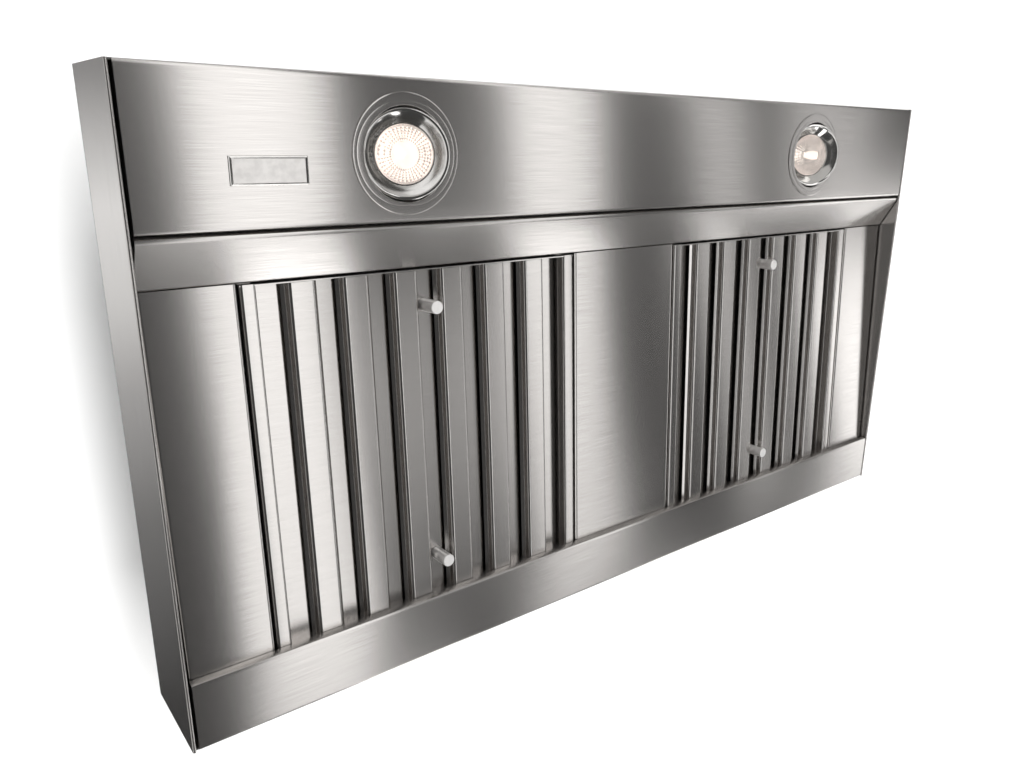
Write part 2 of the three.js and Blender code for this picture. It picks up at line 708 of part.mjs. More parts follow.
/** Open can that shields the lamp above the panel. */
function lampCan() {
  const foot = SHEET + FIT;
  const top = foot + CAN_HEIGHT;
  return ring([
    [CAN_RADIUS, foot],
    [CAN_FOOT_RADIUS, foot],
    [CAN_FOOT_RADIUS, foot + CAN_SHEET],
    [CAN_RADIUS + CAN_SHEET, foot + CAN_SHEET],
    [CAN_RADIUS + CAN_SHEET, top],
    [CAN_WIRE_HOLE, top],
    [CAN_WIRE_HOLE, top - CAN_SHEET],
    [CAN_RADIUS, top - CAN_SHEET],
  ], BULB_SIDES);
}

// ---------------------------------------------------------------------------------------------
// Blower
// ---------------------------------------------------------------------------------------------

/** Spiral outline with a straight neck up to the collar, moved inwards by inset. */
function scrollOutline(inset, neckTop) {
  const spiral = Array.from({ length: SCROLL_STEPS + 1 }, (_, i) => {
    const angle = SCROLL_START_ANGLE + (i / SCROLL_STEPS) * (2 * Math.PI - SCROLL_START_ANGLE);
    const radius = scrollRadius(angle) - inset;
    return [radius * Math.cos(angle), radius * Math.sin(angle)];
  });
  const neck = [
    [SCROLL_END_RADIUS - inset, neckTop],
    [NECK_INNER + inset, neckTop],
  ];
  return [...spiral, ...neck];
}

function blowerScroll() {
  const half = SCROLL_WIDTH / 2;
  const neckTop = BOX_TOP - SCROLL_Z;
  const outer = extrudeX(scrollOutline(0, neckTop), -half, half);
  const inner = extrudeX(scrollOutline(SHEET, neckTop + CUT), -half + SHEET, half - SHEET);
  const inlets = discX(INLET_RADIUS, -half - CUT, half + CUT);
  return combine([outer], [inner, inlets]);
}

/** Squirrel-cage wheel: curved blades between two end rings, on a middle disc with a hub. */
function blowerWheel() {
  const half = WHEEL_WIDTH / 2;
  const rimInner = WHEEL_RADIUS - BLADE_LENGTH + WHEEL_RIM_INSET;
  const rims = [-half, half - WHEEL_RIM].map((x) => ring([
    [rimInner, 0], [WHEEL_RADIUS, 0], [WHEEL_RADIUS, WHEEL_RIM], [rimInner, WHEEL_RIM],
  ], WHEEL_BLADES).rotateY(Math.PI / 2).translate(x, 0, 0));
  const disc = discX(WHEEL_RADIUS - BLADE_THICKNESS, -SHEET, SHEET, WHEEL_BLADES);
  const hub = discX(HUB_RADIUS, -HUB_LENGTH / 2, HUB_LENGTH / 2, BAR_SIDES);
  const side = (radius) => arc(0, 0, radius, -BLADE_BOW_SWEEP / 2, BLADE_BOW_SWEEP / 2, BEND_STEPS);
  const outline = [
    ...side(BLADE_BOW + BLADE_THICKNESS / 2), ...side(BLADE_BOW - BLADE_THICKNESS / 2).reverse(),
  ];
  const blades = Array.from({ length: WHEEL_BLADES }, (_, i) => extrudeX(
    outline, -half + JOIN, half - JOIN)
    .rotateX(BLADE_LEAN)
    .translate(0, WHEEL_RADIUS - BLADE_SEAT, 0)
    .rotateX((i * 2 * Math.PI) / WHEEL_BLADES));
  const bore = discX(SHAFT_RADIUS + FIT, -half, half, BAR_SIDES);
  return combine([disc, hub, ...rims, ...blades], [bore]);
}

/** Motor can beside the left inlet, its bearing bosses on the shaft line. */
function motor() {
  const far = MOTOR_START - MOTOR_LENGTH;
  const boss = SHAFT_RADIUS + MOTOR_BOSS_WALL;
  return ring([
    [SHAFT_RADIUS + FIT, far],
    [MOTOR_RADIUS - MOTOR_CHAMFER, far],
    [MOTOR_RADIUS, far + MOTOR_CHAMFER],
    [MOTOR_RADIUS, MOTOR_START - MOTOR_CHAMFER],
    [MOTOR_RADIUS - MOTOR_CHAMFER, MOTOR_START],
    [boss, MOTOR_START],
    [boss, MOTOR_START + MOTOR_CHAMFER],
    [SHAFT_RADIUS + FIT, MOTOR_START + MOTOR_CHAMFER],
  ], BULB_SIDES).rotateY(Math.PI / 2);
}

/** Clamp round the motor with arms that stand on the scroll's left wall. */
function motorBracket() {
  const inner = MOTOR_RADIUS + FIT;
  const near = MOTOR_START - CLAMP_SETBACK;
  const far = near - CLAMP_WIDTH;
  const clamp = ring([
    [inner, far], [inner + BRACKET_SHEET, far], [inner + BRACKET_SHEET, near], [inner, near],
  ], BULB_SIDES).rotateY(Math.PI / 2);
  const wall = -SCROLL_WIDTH / 2 - FIT;
  const foot = INLET_RADIUS + BRACKET_TO_INLET;
  const outline = [
    [far + CLAMP_EDGE, inner + JOIN],
    [near - CLAMP_EDGE, inner + JOIN],
    [wall - BRACKET_SHEET, foot],
    [wall, foot],
    [wall, foot + BRACKET_FOOT],
    [wall - BRACKET_SHEET, foot + BRACKET_FOOT],
  ];
  const arms = Array.from({ length: BRACKET_ARMS }, (_, i) => extrudeY(
    outline, -BRACKET_WIDTH / 2, BRACKET_WIDTH / 2).rotateX((i * 2 * Math.PI) / BRACKET_ARMS));
  return combine([clamp, ...arms]);
}

function motorShaft() {
  return discX(SHAFT_RADIUS, MOTOR_START - MOTOR_LENGTH - SHAFT_TAIL, SHAFT_TIP, BAR_SIDES);
}

/** Sheet box over the blower, open to the pan, with a flange round its foot. */
function blowerBox() {
  const x = BOX_WIDTH / 2;
  const y = BOX_LENGTH / 2;
  const shell = block(-x, x, -y, y, BOX_Z, BOX_TOP);
  const flange = block(
    -x - BOX_FLANGE, x + BOX_FLANGE, -y - BOX_FLANGE, y + BOX_FLANGE, BOX_Z, BOX_Z + SHEET);
  const inside = block(-x + SHEET, x - SHEET, -y + SHEET, y - SHEET, BOX_Z - CUT, BOX_TOP - SHEET);
  const neck = block(
    -SCROLL_WIDTH / 2 - FIT, SCROLL_WIDTH / 2 + FIT,
    SCROLL_Y + NECK_INNER - FIT, SCROLL_Y + SCROLL_END_RADIUS + FIT,
    BOX_TOP - 2 * SHEET, BOX_TOP + CUT);
  return combine([shell, flange], [inside, neck]);
}

/** Round duct collar with a foot flange and the bead that the damper flaps close on. */
function ductCollar() {
  const inner = COLLAR_RADIUS - SHEET;
  const bead = DAMPER_HEIGHT - DAMPER_SHEET / 2 - FIT;
  const body = ring([
    [inner, 0],
    [COLLAR_RADIUS + COLLAR_FLANGE, 0],
    [COLLAR_RADIUS + COLLAR_FLANGE, SHEET],
    [COLLAR_RADIUS, SHEET],
    [COLLAR_RADIUS, COLLAR_HEIGHT],
    [inner, COLLAR_HEIGHT],
    [inner, bead],
    [inner - COLLAR_BEAD, bead],
    [inner - COLLAR_BEAD, bead - SHEET],
    [inner, bead - SHEET],
  ], DUCT_SIDES);
  const reach = COLLAR_RADIUS + CUT;
  const rodHole = discX(DAMPER_ROD_RADIUS + FIT, -reach, reach, PIN_SIDES);
  return combine([body], [rodHole.translate(0, 0, DAMPER_HEIGHT)]);
}

/** Half-disc flap with two knuckles round the rod; side -1 is the front flap. */
function damperFlap(side) {
  const radius = COLLAR_RADIUS - SHEET - DAMPER_GAP;
  const start = DAMPER_ROD_RADIUS + DAMPER_HINGE_GAP;
  const from = Math.asin(start / radius);
  const plate = extrudeZ(
    arc(0, 0, radius, from, Math.PI - from, FLAP_STEPS), -DAMPER_SHEET / 2, DAMPER_SHEET / 2);
  const fromMiddle = side < 0 ? FRONT_KNUCKLE : REAR_KNUCKLE;
  const knuckles = [-fromMiddle, fromMiddle].flatMap((x) => {
    const x0 = x - KNUCKLE_LENGTH / 2;
    const x1 = x + KNUCKLE_LENGTH / 2;
    const barrel = discX(DAMPER_ROD_RADIUS + KNUCKLE_WALL, x0, x1, PIN_SIDES);
    const tab = block(
      x0, x1, DAMPER_ROD_RADIUS + JOIN, start + JOIN, -DAMPER_SHEET / 2, DAMPER_SHEET / 2);
    return [barrel, tab];
  });
  const bore = discX(DAMPER_ROD_RADIUS + FIT, -COLLAR_RADIUS, COLLAR_RADIUS, PIN_SIDES);
  const flap = combine([plate, ...knuckles], [bore]);
  return side < 0 ? flap.rotateZ(Math.PI) : flap;
}

function damperRod() {
  const half = COLLAR_RADIUS + DAMPER_HINGE_GAP;
  return discX(DAMPER_ROD_RADIUS, -half, half, PIN_SIDES);
}

// ---------------------------------------------------------------------------------------------
// Wiring
// ---------------------------------------------------------------------------------------------

/** Open box with a cable hole in its front wall and one in its floor. */
function wiringBox() {
  const { width, length, height } = WIRING_BOX;
  const outer = block(-width / 2, width / 2, -length / 2, length / 2, 0, height);
  const inner = block(
    -width / 2 + SHEET, width / 2 - SHEET, -length / 2 + SHEET, length / 2 - SHEET,
    SHEET, height + CUT);
  const mains = discX(CABLE_HOLE_RADIUS, 0, length, BAR_SIDES)
    .rotateZ(-Math.PI / 2).translate(0, 0, height / 2);
  const floor = discZ(CABLE_HOLE_RADIUS, -CUT, SHEET + CUT, BAR_SIDES);
  return combine([outer], [inner, mains, floor]);
}

function wiringCover() {
  const x = WIRING_BOX.width / 2 + COVER_LIP;
  const y = WIRING_BOX.length / 2 + COVER_LIP;
  return block(-x, x, -y, y, WIRING_BOX.height + FIT, WIRING_BOX.height + FIT + SHEET);
}

function driverBox() {
  const { width, length, height, chamfer } = DRIVER_BOX;
  const half = width / 2;
  return extrudeY([
    [-half, 0],
    [half, 0],
    [half, height - chamfer],
    [half - chamfer, height],
    [-half + chamfer, height],
    [-half, height - chamfer],
  ], -length / 2, length / 2);
}

// ---------------------------------------------------------------------------------------------
// Assembly
// ---------------------------------------------------------------------------------------------

addPart(rangeHoodInsert, 'left_side_panel', sidePanel(-1), stainless);
addPart(rangeHoodInsert, 'right_side_panel', sidePanel(1), stainless);
addPart(rangeHoodInsert, 'light_panel', lightPanel(), stainless);
addPart(rangeHoodInsert, 'sloped_strip', slopedStrip(), stainless);
for (const label of ['left', 'right']) {
  const spring = addPart(rangeHoodInsert, `filter_spring_${label}`, filterSpring(), stainless);
  spring.position.x = FILTER_X[label];
}
addPart(rangeHoodInsert, 'rear_trough', rearTrough(), stainless);
addPart(rangeHoodInsert, 'top_deck', topDeck(), galvanised);

const bay = new THREE.Group();
bay.position.set(0, FILTER_Y, FILTER_Z);
bay.rotation.x = -BAY_SLOPE;
rangeHoodInsert.add(bay);

for (const [label, width, x] of [
  ['left', LEFT_BLANK, -PANEL_HALF + LEFT_BLANK / 2],
  ['middle', MIDDLE_BLANK, FILTER_X.left + FILTER_EDGE + MIDDLE_BLANK / 2],
  ['right', RIGHT_BLANK, PANEL_HALF - RIGHT_BLANK / 2],
]) {
  addPart(bay, `blank_panel_${label}`, blankPanel(width), stainless).position.x = x;
}

for (const [label, side] of [['left', -1], ['right', 1]]) {
  const filter = new THREE.Group();
  filter.position.x = FILTER_X[label];
  bay.add(filter);
  addPart(filter, `filter_frame_${label}`, filterFrame(), stainless);
  for (let i = 0; i < BAFFLE_COUNT; i += 1) {
    const baffle = addPart(filter, `front_baffle_${label}_${i + 1}`, frontBaffle(), stainless);
    baffle.position.x = (i - (BAFFLE_COUNT - 1) / 2) * BAFFLE_PITCH;
  }
  for (const [place, end] of [['front', -1], ['rear', 1]]) {
    const knob = addPart(filter, `filter_knob_${label}_${place}`, filterKnob(), polished);
    knob.position.y = (end * KNOB_SPACING) / 2 - LIP_TUCK / 2;
  }

  const lamp = new THREE.Group();
  lamp.position.set(side * LAMP_OFFSET, FRONT + LAMP_FROM_FRONT, 0);
  rangeHoodInsert.add(lamp);
  addPart(lamp, `lamp_trim_${label}`, lampTrim(), stainless);
  addPart(lamp, `lamp_can_${label}`, lampCan(), galvanised);
  const gimbal = new THREE.Group();
  gimbal.position.z = GIMBAL_PIVOT_HEIGHT;
  gimbal.rotation.y = LAMP_TILT;
  lamp.add(gimbal);
  addPart(gimbal, `gimbal_ring_${label}`, gimbalRing(), polished);
  addPart(gimbal, `bulb_lens_${label}`, bulbLens(), clearGlass);
  addPart(gimbal, `bulb_body_${label}`, bulbBody(), polished);
  addPart(gimbal, `bulb_socket_${label}`, socket(), blackPlastic);
}

addPart(rangeHoodInsert, 'blower_box', blowerBox(), galvanised);
const fan = new THREE.Group();
fan.position.set(0, SCROLL_Y, SCROLL_Z);
rangeHoodInsert.add(fan);
addPart(fan, 'blower_scroll', blowerScroll(), galvanised);
addPart(fan, 'blower_wheel', blowerWheel(), galvanised);
addPart(fan, 'motor', motor(), motorPaint);
addPart(fan, 'motor_bracket', motorBracket(), galvanised);
addPart(fan, 'motor_shaft', motorShaft(), polished);

const collar = new THREE.Group();
collar.position.set(0, COLLAR_FROM_CENTRE, BOX_TOP + FIT);
rangeHoodInsert.add(collar);
addPart(collar, 'duct_collar', ductCollar(), galvanised);
const damper = new THREE.Group();
damper.position.z = DAMPER_HEIGHT;
collar.add(damper);
addPart(damper, 'damper_rod', damperRod(), polished);
addPart(damper, 'damper_flap_front', damperFlap(-1), galvanised);
addPart(damper, 'damper_flap_rear', damperFlap(1), galvanised);

const onDeck = DECK_Z + SHEET + FIT;
for (const [name, geometry, x, material] of [
  ['wiring_box', wiringBox(), WIRING_OFFSET, galvanised],
  ['wiring_box_cover', wiringCover(), WIRING_OFFSET, galvanised],
  ['lamp_driver', driverBox(), -WIRING_OFFSET, blackPlastic],
]) {
  addPart(rangeHoodInsert, name, geometry, material).position.set(x, 0, onDeck);
}

export default rangeHoodInsert;
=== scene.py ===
"""A range hood insert seen from below and in front: brushed sheet, baffle filters and lamps."""

import json
import math

import bmesh
import bpy
from mathutils import Matrix, Vector

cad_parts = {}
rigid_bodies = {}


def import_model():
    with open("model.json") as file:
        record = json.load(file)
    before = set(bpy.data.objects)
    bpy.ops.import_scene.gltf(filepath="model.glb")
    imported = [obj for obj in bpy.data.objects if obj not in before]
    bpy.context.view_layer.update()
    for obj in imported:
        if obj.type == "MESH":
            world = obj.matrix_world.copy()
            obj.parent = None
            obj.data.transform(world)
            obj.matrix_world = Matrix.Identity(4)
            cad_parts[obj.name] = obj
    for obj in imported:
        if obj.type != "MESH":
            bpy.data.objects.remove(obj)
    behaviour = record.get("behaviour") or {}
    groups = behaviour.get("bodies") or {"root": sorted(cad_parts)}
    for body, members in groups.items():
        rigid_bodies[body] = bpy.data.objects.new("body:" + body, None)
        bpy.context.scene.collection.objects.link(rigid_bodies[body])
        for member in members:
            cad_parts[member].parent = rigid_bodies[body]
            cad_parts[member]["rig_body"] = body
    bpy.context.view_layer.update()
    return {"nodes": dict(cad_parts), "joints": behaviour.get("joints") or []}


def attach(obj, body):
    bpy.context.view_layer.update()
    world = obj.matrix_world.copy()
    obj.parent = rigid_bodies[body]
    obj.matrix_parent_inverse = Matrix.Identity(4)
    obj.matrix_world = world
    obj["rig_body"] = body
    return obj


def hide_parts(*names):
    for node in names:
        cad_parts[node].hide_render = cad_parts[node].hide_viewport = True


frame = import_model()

NODES = frame["nodes"]
SCENE = bpy.context.scene
MM = 0.001
SIDES = ("left", "right")

# --- Sizes repeated from the part's source, in metres -----------------------------------------

PIVOTS = {joint["name"]: Vector(joint["pos_m"]) for joint in frame["joints"]}
LAMP_TILT = math.radians(20)
LAMP_Y = -215.5 * MM
LAMP_X = {"left": -289 * MM, "right": 289 * MM}
FILTER_X = {"left": -256.625 * MM, "right": 244.125 * MM}
BAY_SLOPE = math.atan(15 / 328)
BAY_MIDDLE = Vector((0, 51.55, 9 + 160.95 * 15 / 328)) * MM
SLAT_PITCH = 267.75 / 5.5 * MM
SLAT_COUNT = 6
SHEET = 1 * MM
BOX_TOP = 267.1 * MM
COLLAR_Y = 40 * MM

# --- Small helpers --------------------------------------------------------------------------


def srgb(code):
    """A hex colour such as "C8C6C2" as linear red, green, blue and alpha."""
    parts = [int(code[i:i + 2], 16) / 255 for i in (0, 2, 4)]
    return tuple(p / 12.92 if p <= 0.04045 else ((p + 0.055) / 1.055) ** 2.4
                 for p in parts) + (1.0,)


def add(tree, kind, links=None, values=None, stops=None, **settings):
    """Adds a node: settings are its properties, values and links its inputs, stops its ramp."""
    node = tree.nodes.new(kind)
    for name, value in settings.items():
        setattr(node, name, value)
    for name, value in (values or {}).items():
        node.inputs[name].default_value = value
    for name, source in (links or {}).items():
        tree.links.new(source, node.inputs[name])
    if stops:
        elements = node.color_ramp.elements
        while len(elements) < len(stops):
            elements.new(0.5)
        for element, (position, colour) in zip(elements, stops):
            element.position = position
            element.color = srgb(colour) if isinstance(colour, str) else colour
    return node


def new_material(name):
    """An empty node material with its output, as (material, tree, output)."""
    material = bpy.data.materials.new(name)
    material.use_nodes = True
    tree = material.node_tree
    tree.nodes.clear()
    return material, tree, add(tree, "ShaderNodeOutputMaterial")


# --- Materials ------------------------------------------------------------------------------

GRAIN_MAP = "grain"
# A 150-grit belt leaves lines about 0.1 mm wide; they are drawn coarser than that so they show.
GRAIN_WIDTH = 0.4 * MM
GRAIN_LENGTH = 55 * MM
GLOSS_SPREAD = 0.02
MOTTLE_SPREAD = 0.04
SPANGLE = 9 * MM


def grain_pattern(tree, width, length, seed):
    """Fine streaks along the grain, on the piece's own grain map."""
    uv = add(tree, "ShaderNodeUVMap", uv_map=GRAIN_MAP)
    place = add(tree, "ShaderNodeMapping", {"Vector": uv.outputs["UV"]},
                {"Scale": (1 / width, 1 / length, 1), "Location": (seed, seed, 0)})
    return add(tree, "ShaderNodeTexNoise", {"Vector": place.outputs["Vector"]},
               {"Scale": 1.0, "Detail": 2.0, "Roughness": 0.6}, noise_dimensions="2D")


def brushed_steel(name, light, dark, roughness, anisotropy, depth, metallic=1.0):
    """304 stainless, brushed: streaks in tone and gloss, highlights drawn out across the grain."""
    material, tree, output = new_material(name)
    fine = grain_pattern(tree, GRAIN_WIDTH, GRAIN_LENGTH, 0.0)
    broad = grain_pattern(tree, 9 * GRAIN_WIDTH, 5 * GRAIN_LENGTH, 7.3)
    both = add(tree, "ShaderNodeMix", {"A": fine.outputs["Fac"], "B": broad.outputs["Fac"]},
               {"Factor": 0.15})
    tone = add(tree, "ShaderNodeValToRGB", {"Fac": both.outputs["Result"]},
               stops=[(0.25, dark), (0.75, light)])
    gloss = add(tree, "ShaderNodeMapRange", {"Value": both.outputs["Result"]},
                {"From Min": 0.25, "From Max": 0.75,
                 "To Min": roughness + GLOSS_SPREAD, "To Max": roughness - GLOSS_SPREAD})
    tangent = add(tree, "ShaderNodeTangent", direction_type="UV_MAP", uv_map=GRAIN_MAP)
    bump = add(tree, "ShaderNodeBump", {"Height": fine.outputs["Fac"]},
               {"Strength": 0.15, "Distance": depth})
    shader = add(tree, "ShaderNodeBsdfPrincipled", {
        "Base Color": tone.outputs["Color"], "Roughness": gloss.outputs["Result"],
        "Normal": bump.outputs["Normal"], "Tangent": tangent.outputs["Tangent"]},
        {"Metallic": metallic, "Anisotropic": anisotropy})
    tree.links.new(shader.outputs["BSDF"], output.inputs["Surface"])
    return material


def noise_on(tree, size):
    """Noise whose cells are about size across, fixed to the object."""
    where = add(tree, "ShaderNodeTexCoord")
    return add(tree, "ShaderNodeTexNoise", {"Vector": where.outputs["Object"]},
               {"Scale": 1 / size, "Detail": 2.0})


def galvanised_steel():
    """Hot-dip galvanised sheet: dull zinc with crystal spangle 8 to 12 mm across."""
    material, tree, output = new_material("galvanised_sheet")
    where = add(tree, "ShaderNodeTexCoord")
    cells = add(tree, "ShaderNodeTexVoronoi", {"Vector": where.outputs["Object"]},
                {"Scale": 1 / SPANGLE})
    tone = add(tree, "ShaderNodeValToRGB", {"Fac": cells.outputs["Color"]},
               stops=[(0.1, "9CA0A1"), (0.9, "B2B5B6")])
    gloss = add(tree, "ShaderNodeMapRange", {"Value": cells.outputs["Color"]},
                {"To Min": 0.42, "To Max": 0.52})
    fine = noise_on(tree, 0.8 * MM)
    bump = add(tree, "ShaderNodeBump", {"Height": fine.outputs["Fac"]},
               {"Strength": 0.15, "Distance": 0.05 * MM})
    shader = add(tree, "ShaderNodeBsdfPrincipled", {
        "Base Color": tone.outputs["Color"], "Roughness": gloss.outputs["Result"],
        "Normal": bump.outputs["Normal"]}, {"Metallic": 1.0})
    tree.links.new(shader.outputs["BSDF"], output.inputs["Surface"])
    return material


def plain(name, code, dark_code, metallic, roughness, grain, depth, **sockets):
    """Paint, plastic or plating: a slight mottle in tone and a fine texture, grain wide."""
    material, tree, output = new_material(name)
    mottle = noise_on(tree, 12 * grain)
    tone = add(tree, "ShaderNodeValToRGB", {"Fac": mottle.outputs["Fac"]},
               stops=[(0.35, dark_code), (0.65, code)])
    fine = noise_on(tree, grain)
    gloss = add(tree, "ShaderNodeMapRange", {"Value": fine.outputs["Fac"]},
                {"To Min": roughness - MOTTLE_SPREAD, "To Max": roughness + MOTTLE_SPREAD})
    bump = add(tree, "ShaderNodeBump", {"Height": fine.outputs["Fac"]},
               {"Strength": 0.2, "Distance": depth})
    shader = add(tree, "ShaderNodeBsdfPrincipled", {
        "Base Color": tone.outputs["Color"], "Roughness": gloss.outputs["Result"],
        "Normal": bump.outputs["Normal"]}, {"Metallic": metallic})
    for socket, value in sockets.items():
        shader.inputs[socket.replace("_", " ")].default_value = value
    tree.links.new(shader.outputs["BSDF"], output.inputs["Surface"])
    return material


def pressed_glass():
    """Borosilicate bulb front, pressed with small prisms: clear, with a trace of waviness."""
    material, tree, output = new_material("pressed_glass")
    fine = noise_on(tree, 1.5 * MM)
    bump = add(tree, "ShaderNodeBump", {"Height": fine.outputs["Fac"]},
               {"Strength": 0.1, "Distance": 0.05 * MM})
    shader = add(tree, "ShaderNodeBsdfPrincipled", {"Normal": bump.outputs["Normal"]},
                 {"Base Color": srgb("FDFAF6"), "Roughness": 0.03, "IOR": 1.47,
                  "Transmission Weight": 1.0})
    tree.links.new(shader.outputs["BSDF"], output.inputs["Surface"])
    return material


# Brushed sheet: the studio lights show as soft bands that cross the grain.
STAINLESS = brushed_steel("brushed_304_stainless", "D2CFCC", "C4C0BD", 0.24, 0.88, 0.02 * MM)
# Turned and tumbled bar: its fine scratches scatter light, so it is paler than the sheet.
SATIN_BAR = brushed_steel("turned_stainless_bar", "F2F0EE", "E4E2E0", 0.38, 0.3, 0.01 * MM, 0.7)
GALVANISED = galvanised_steel()
# Plated and polished: small sharp highlights round the lamps and the bare name plate.
CHROME = plain("polished_chrome", "E6E4E1", "DAD8D5", 1.0, 0.12, 1.5 * MM, 0.004 * MM)
# Metal vapour on glass with a painted glow: an even warm brightness behind the prisms that stands
# in for the light its own lamp throws on the mirror.
MIRROR_BOWL_PAINTED_GLOW = plain("vapour_coated_mirror_painted_glow", "F3F1F0", "E6E2E1", 1.0, 0.1, 1.2 * MM, 0.02 * MM,
                    Emission_Color=srgb("FFF3EE"), Emission_Strength=0.17)
# Fired ceramic and its lit burner: the bright spot in the middle of each lens.
BURNER = plain("lit_ceramic_burner", "FFFBF8", "FFF6F0", 0.0, 0.4, 1.0 * MM, 0.01 * MM,
               Emission_Color=srgb("FFF8F3"), Emission_Strength=0.8)
# Moulded phenolic: near black, half matt, with a fine pebble.
BLACK_PLASTIC = plain("black_phenolic", "1D1D1E", "141415", 0.0, 0.5, 0.6 * MM, 0.04 * MM)
# Baked enamel: black with a little orange peel under a thin gloss.
MOTOR_ENAMEL = plain("black_stove_enamel", "303234", "26282A", 0.0, 0.4, 0.9 * MM, 0.05 * MM,
                     Coat_Weight=0.3)
# Barrel-plated zinc: bright bluish heads with a worn mottle.
ZINC_SCREW = plain("zinc_plated_screw", "B9BCC0", "9EA2A6", 1.0, 0.3, 0.8 * MM, 0.02 * MM)
# Satin-plated and left bare: a pale field inside its polished frame.
BADGE_FACE = plain("satin_nickel_plate", "E3E0DD", "D6D3D0", 1.0, 0.3, 0.5 * MM, 0.01 * MM)
GLASS = pressed_glass()

# --- Pieces ---------------------------------------------------------------------------------

AXES = {"x": Vector((1, 0, 0)), "y": Vector((0, 1, 0)), "z": Vector((0, 0, 1))}
SOFT_ANGLE = math.radians(40)
TURNED_SOFT_ANGLE = math.radians(32)
PRISM_SOFT_ANGLE = math.radians(12)
MERGE_DISTANCE = 1e-6


def add_grain_map(mesh_data, grain):
    """A UV map in metres: U runs across the grain and V along it, so the tangent is across."""
    along_axis = AXES[grain]
    layer = mesh_data.loops.layers.uv.new(GRAIN_MAP)
    for face in mesh_data.faces:
        along = along_axis - along_axis.dot(face.normal) * face.normal
        if along.length < 0.3:
            other = AXES["y" if grain != "y" else "x"]
            along = other - other.dot(face.normal) * face.normal
        along.normalize()
        across = along.cross(face.normal)
        for loop in face.loops:
            loop[layer].uv = (loop.vert.co.dot(across), loop.vert.co.dot(along))


def body_name(node):
    """The body that a CAD node belongs to."""
    return NODES[node]["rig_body"]


def soften(mesh_data, angle=SOFT_ANGLE):
    """Smooth shading with a crease wherever two faces meet more sharply than the angle."""
    for bend in mesh_data.edges:
        bend.smooth = bend.calc_face_angle(0.0) < angle
    for face in mesh_data.faces:
        face.smooth = True


def mesh_from(mesh_data, name, grain=None):
    """Turns a finished bmesh into a mesh, with a grain map if it is brushed."""
    mesh_data.normal_update()
    if grain:
        add_grain_map(mesh_data, grain)
    mesh = bpy.data.meshes.new(name)
    mesh_data.to_mesh(mesh)
    mesh_data.free()
    return mesh


def finish_piece(name, mesh, material, body, nodes=()):
    """Links a mesh as a piece of the object, riding on its body."""
    mesh.materials.clear()
    mesh.materials.append(material)
    piece = bpy.data.objects.new(name, mesh)
    SCENE.collection.objects.link(piece)
    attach(piece, body)
    if nodes:
        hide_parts(*nodes)


def apply_modifiers(mesh, prepare):
    """The mesh as it is after the modifiers that prepare puts on an object of it."""
    carrier = bpy.data.objects.new("carrier", mesh)
    SCENE.collection.objects.link(carrier)
    prepare(carrier)
    graph = bpy.context.evaluated_depsgraph_get()
    result = bpy.data.meshes.new_from_object(carrier.evaluated_get(graph))
    carrier.modifiers.clear()
    bpy.data.objects.remove(carrier)
    bpy.data.meshes.remove(mesh)
    return result


def flatten_faces(carrier):
    """Keeps broad flat faces flat between soft bends."""
    carrier.modifiers.new("flat faces", "WEIGHTED_NORMAL").keep_sharp = True


def copy_piece(node, material, grain=None):
    """The node's own form with merged corners, soft bends, flat faces and a grain direction."""
    mesh_data = bmesh.new()
    mesh_data.from_mesh(NODES[node].data)
    bmesh.ops.remove_doubles(mesh_data, verts=mesh_data.verts, dist=MERGE_DISTANCE)
    bmesh.ops.dissolve_limit(mesh_data, angle_limit=math.radians(0.5),
                             verts=mesh_data.verts, edges=mesh_data.edges)
    bmesh.ops.triangulate(mesh_data, faces=mesh_data.faces)
    soften(mesh_data)
    mesh = apply_modifiers(mesh_from(mesh_data, node + "_finish", grain), flatten_faces)
    finish_piece(node + "_finish", mesh, material, body_name(node), [node])


def lathe(name, profile, segments, shape=None, closed=False, grain=None):
    """A mesh turned about Z from (radius, height) points; shape may move a point by its angle."""
    mesh_data = bmesh.new()
    rings = []
    for radius, height in profile:
        if radius == 0:
            rings.append([mesh_data.verts.new((0, 0, height))])
            continue
        ring = []
        for i in range(segments):
            angle = 2 * math.pi * i / segments
            r, z = shape(radius, height, angle) if shape else (radius, height)
            ring.append(mesh_data.verts.new((r * math.cos(angle), r * math.sin(angle), z)))
        rings.append(ring)
    if closed:
        rings.append(rings[0])
    for low, high in zip(rings, rings[1:]):
        for i in range(segments):
            j = (i + 1) % segments
            corners = [low[i % len(low)], low[j % len(low)],
                       high[j % len(high)], high[i % len(high)]]
            unique = list(dict.fromkeys(corners))
            if len(unique) > 2:
                mesh_data.faces.new(unique)
    bmesh.ops.recalc_face_normals(mesh_data, faces=mesh_data.faces)
    soften(mesh_data, TURNED_SOFT_ANGLE)
    return mesh_from(mesh_data, name, grain)


def curve_points(centre, radius, start, end, steps):
    """(radius, height) points of an arc, angles in degrees."""
    points = []
    for i in range(steps + 1):
        angle = math.radians(start + (end - start) * i / steps)
        points.append((centre[0] + radius * math.cos(angle), centre[1] + radius * math.sin(angle)))
    return points


def in_mm(points):
    """Pairs of millimetres turned to metres."""
    return [(x * MM, y * MM) for x, y in points]


# --- Rows and fixings: Geometry Nodes --------------------------------------------------------


def new_tree(name, sockets):
    """A geometry tree with its group input and output; sockets are (name, kind) pairs."""
    tree = bpy.data.node_groups.new(name, "GeometryNodeTree")
    tree.interface.new_socket("Geometry", in_out="INPUT", socket_type="NodeSocketGeometry")
    tree.interface.new_socket("Geometry", in_out="OUTPUT", socket_type="NodeSocketGeometry")
    for socket, kind in sockets:
        tree.interface.new_socket(socket, in_out="INPUT", socket_type="NodeSocket" + kind)
    return tree, add(tree, "NodeGroupInput"), add(tree, "NodeGroupOutput")


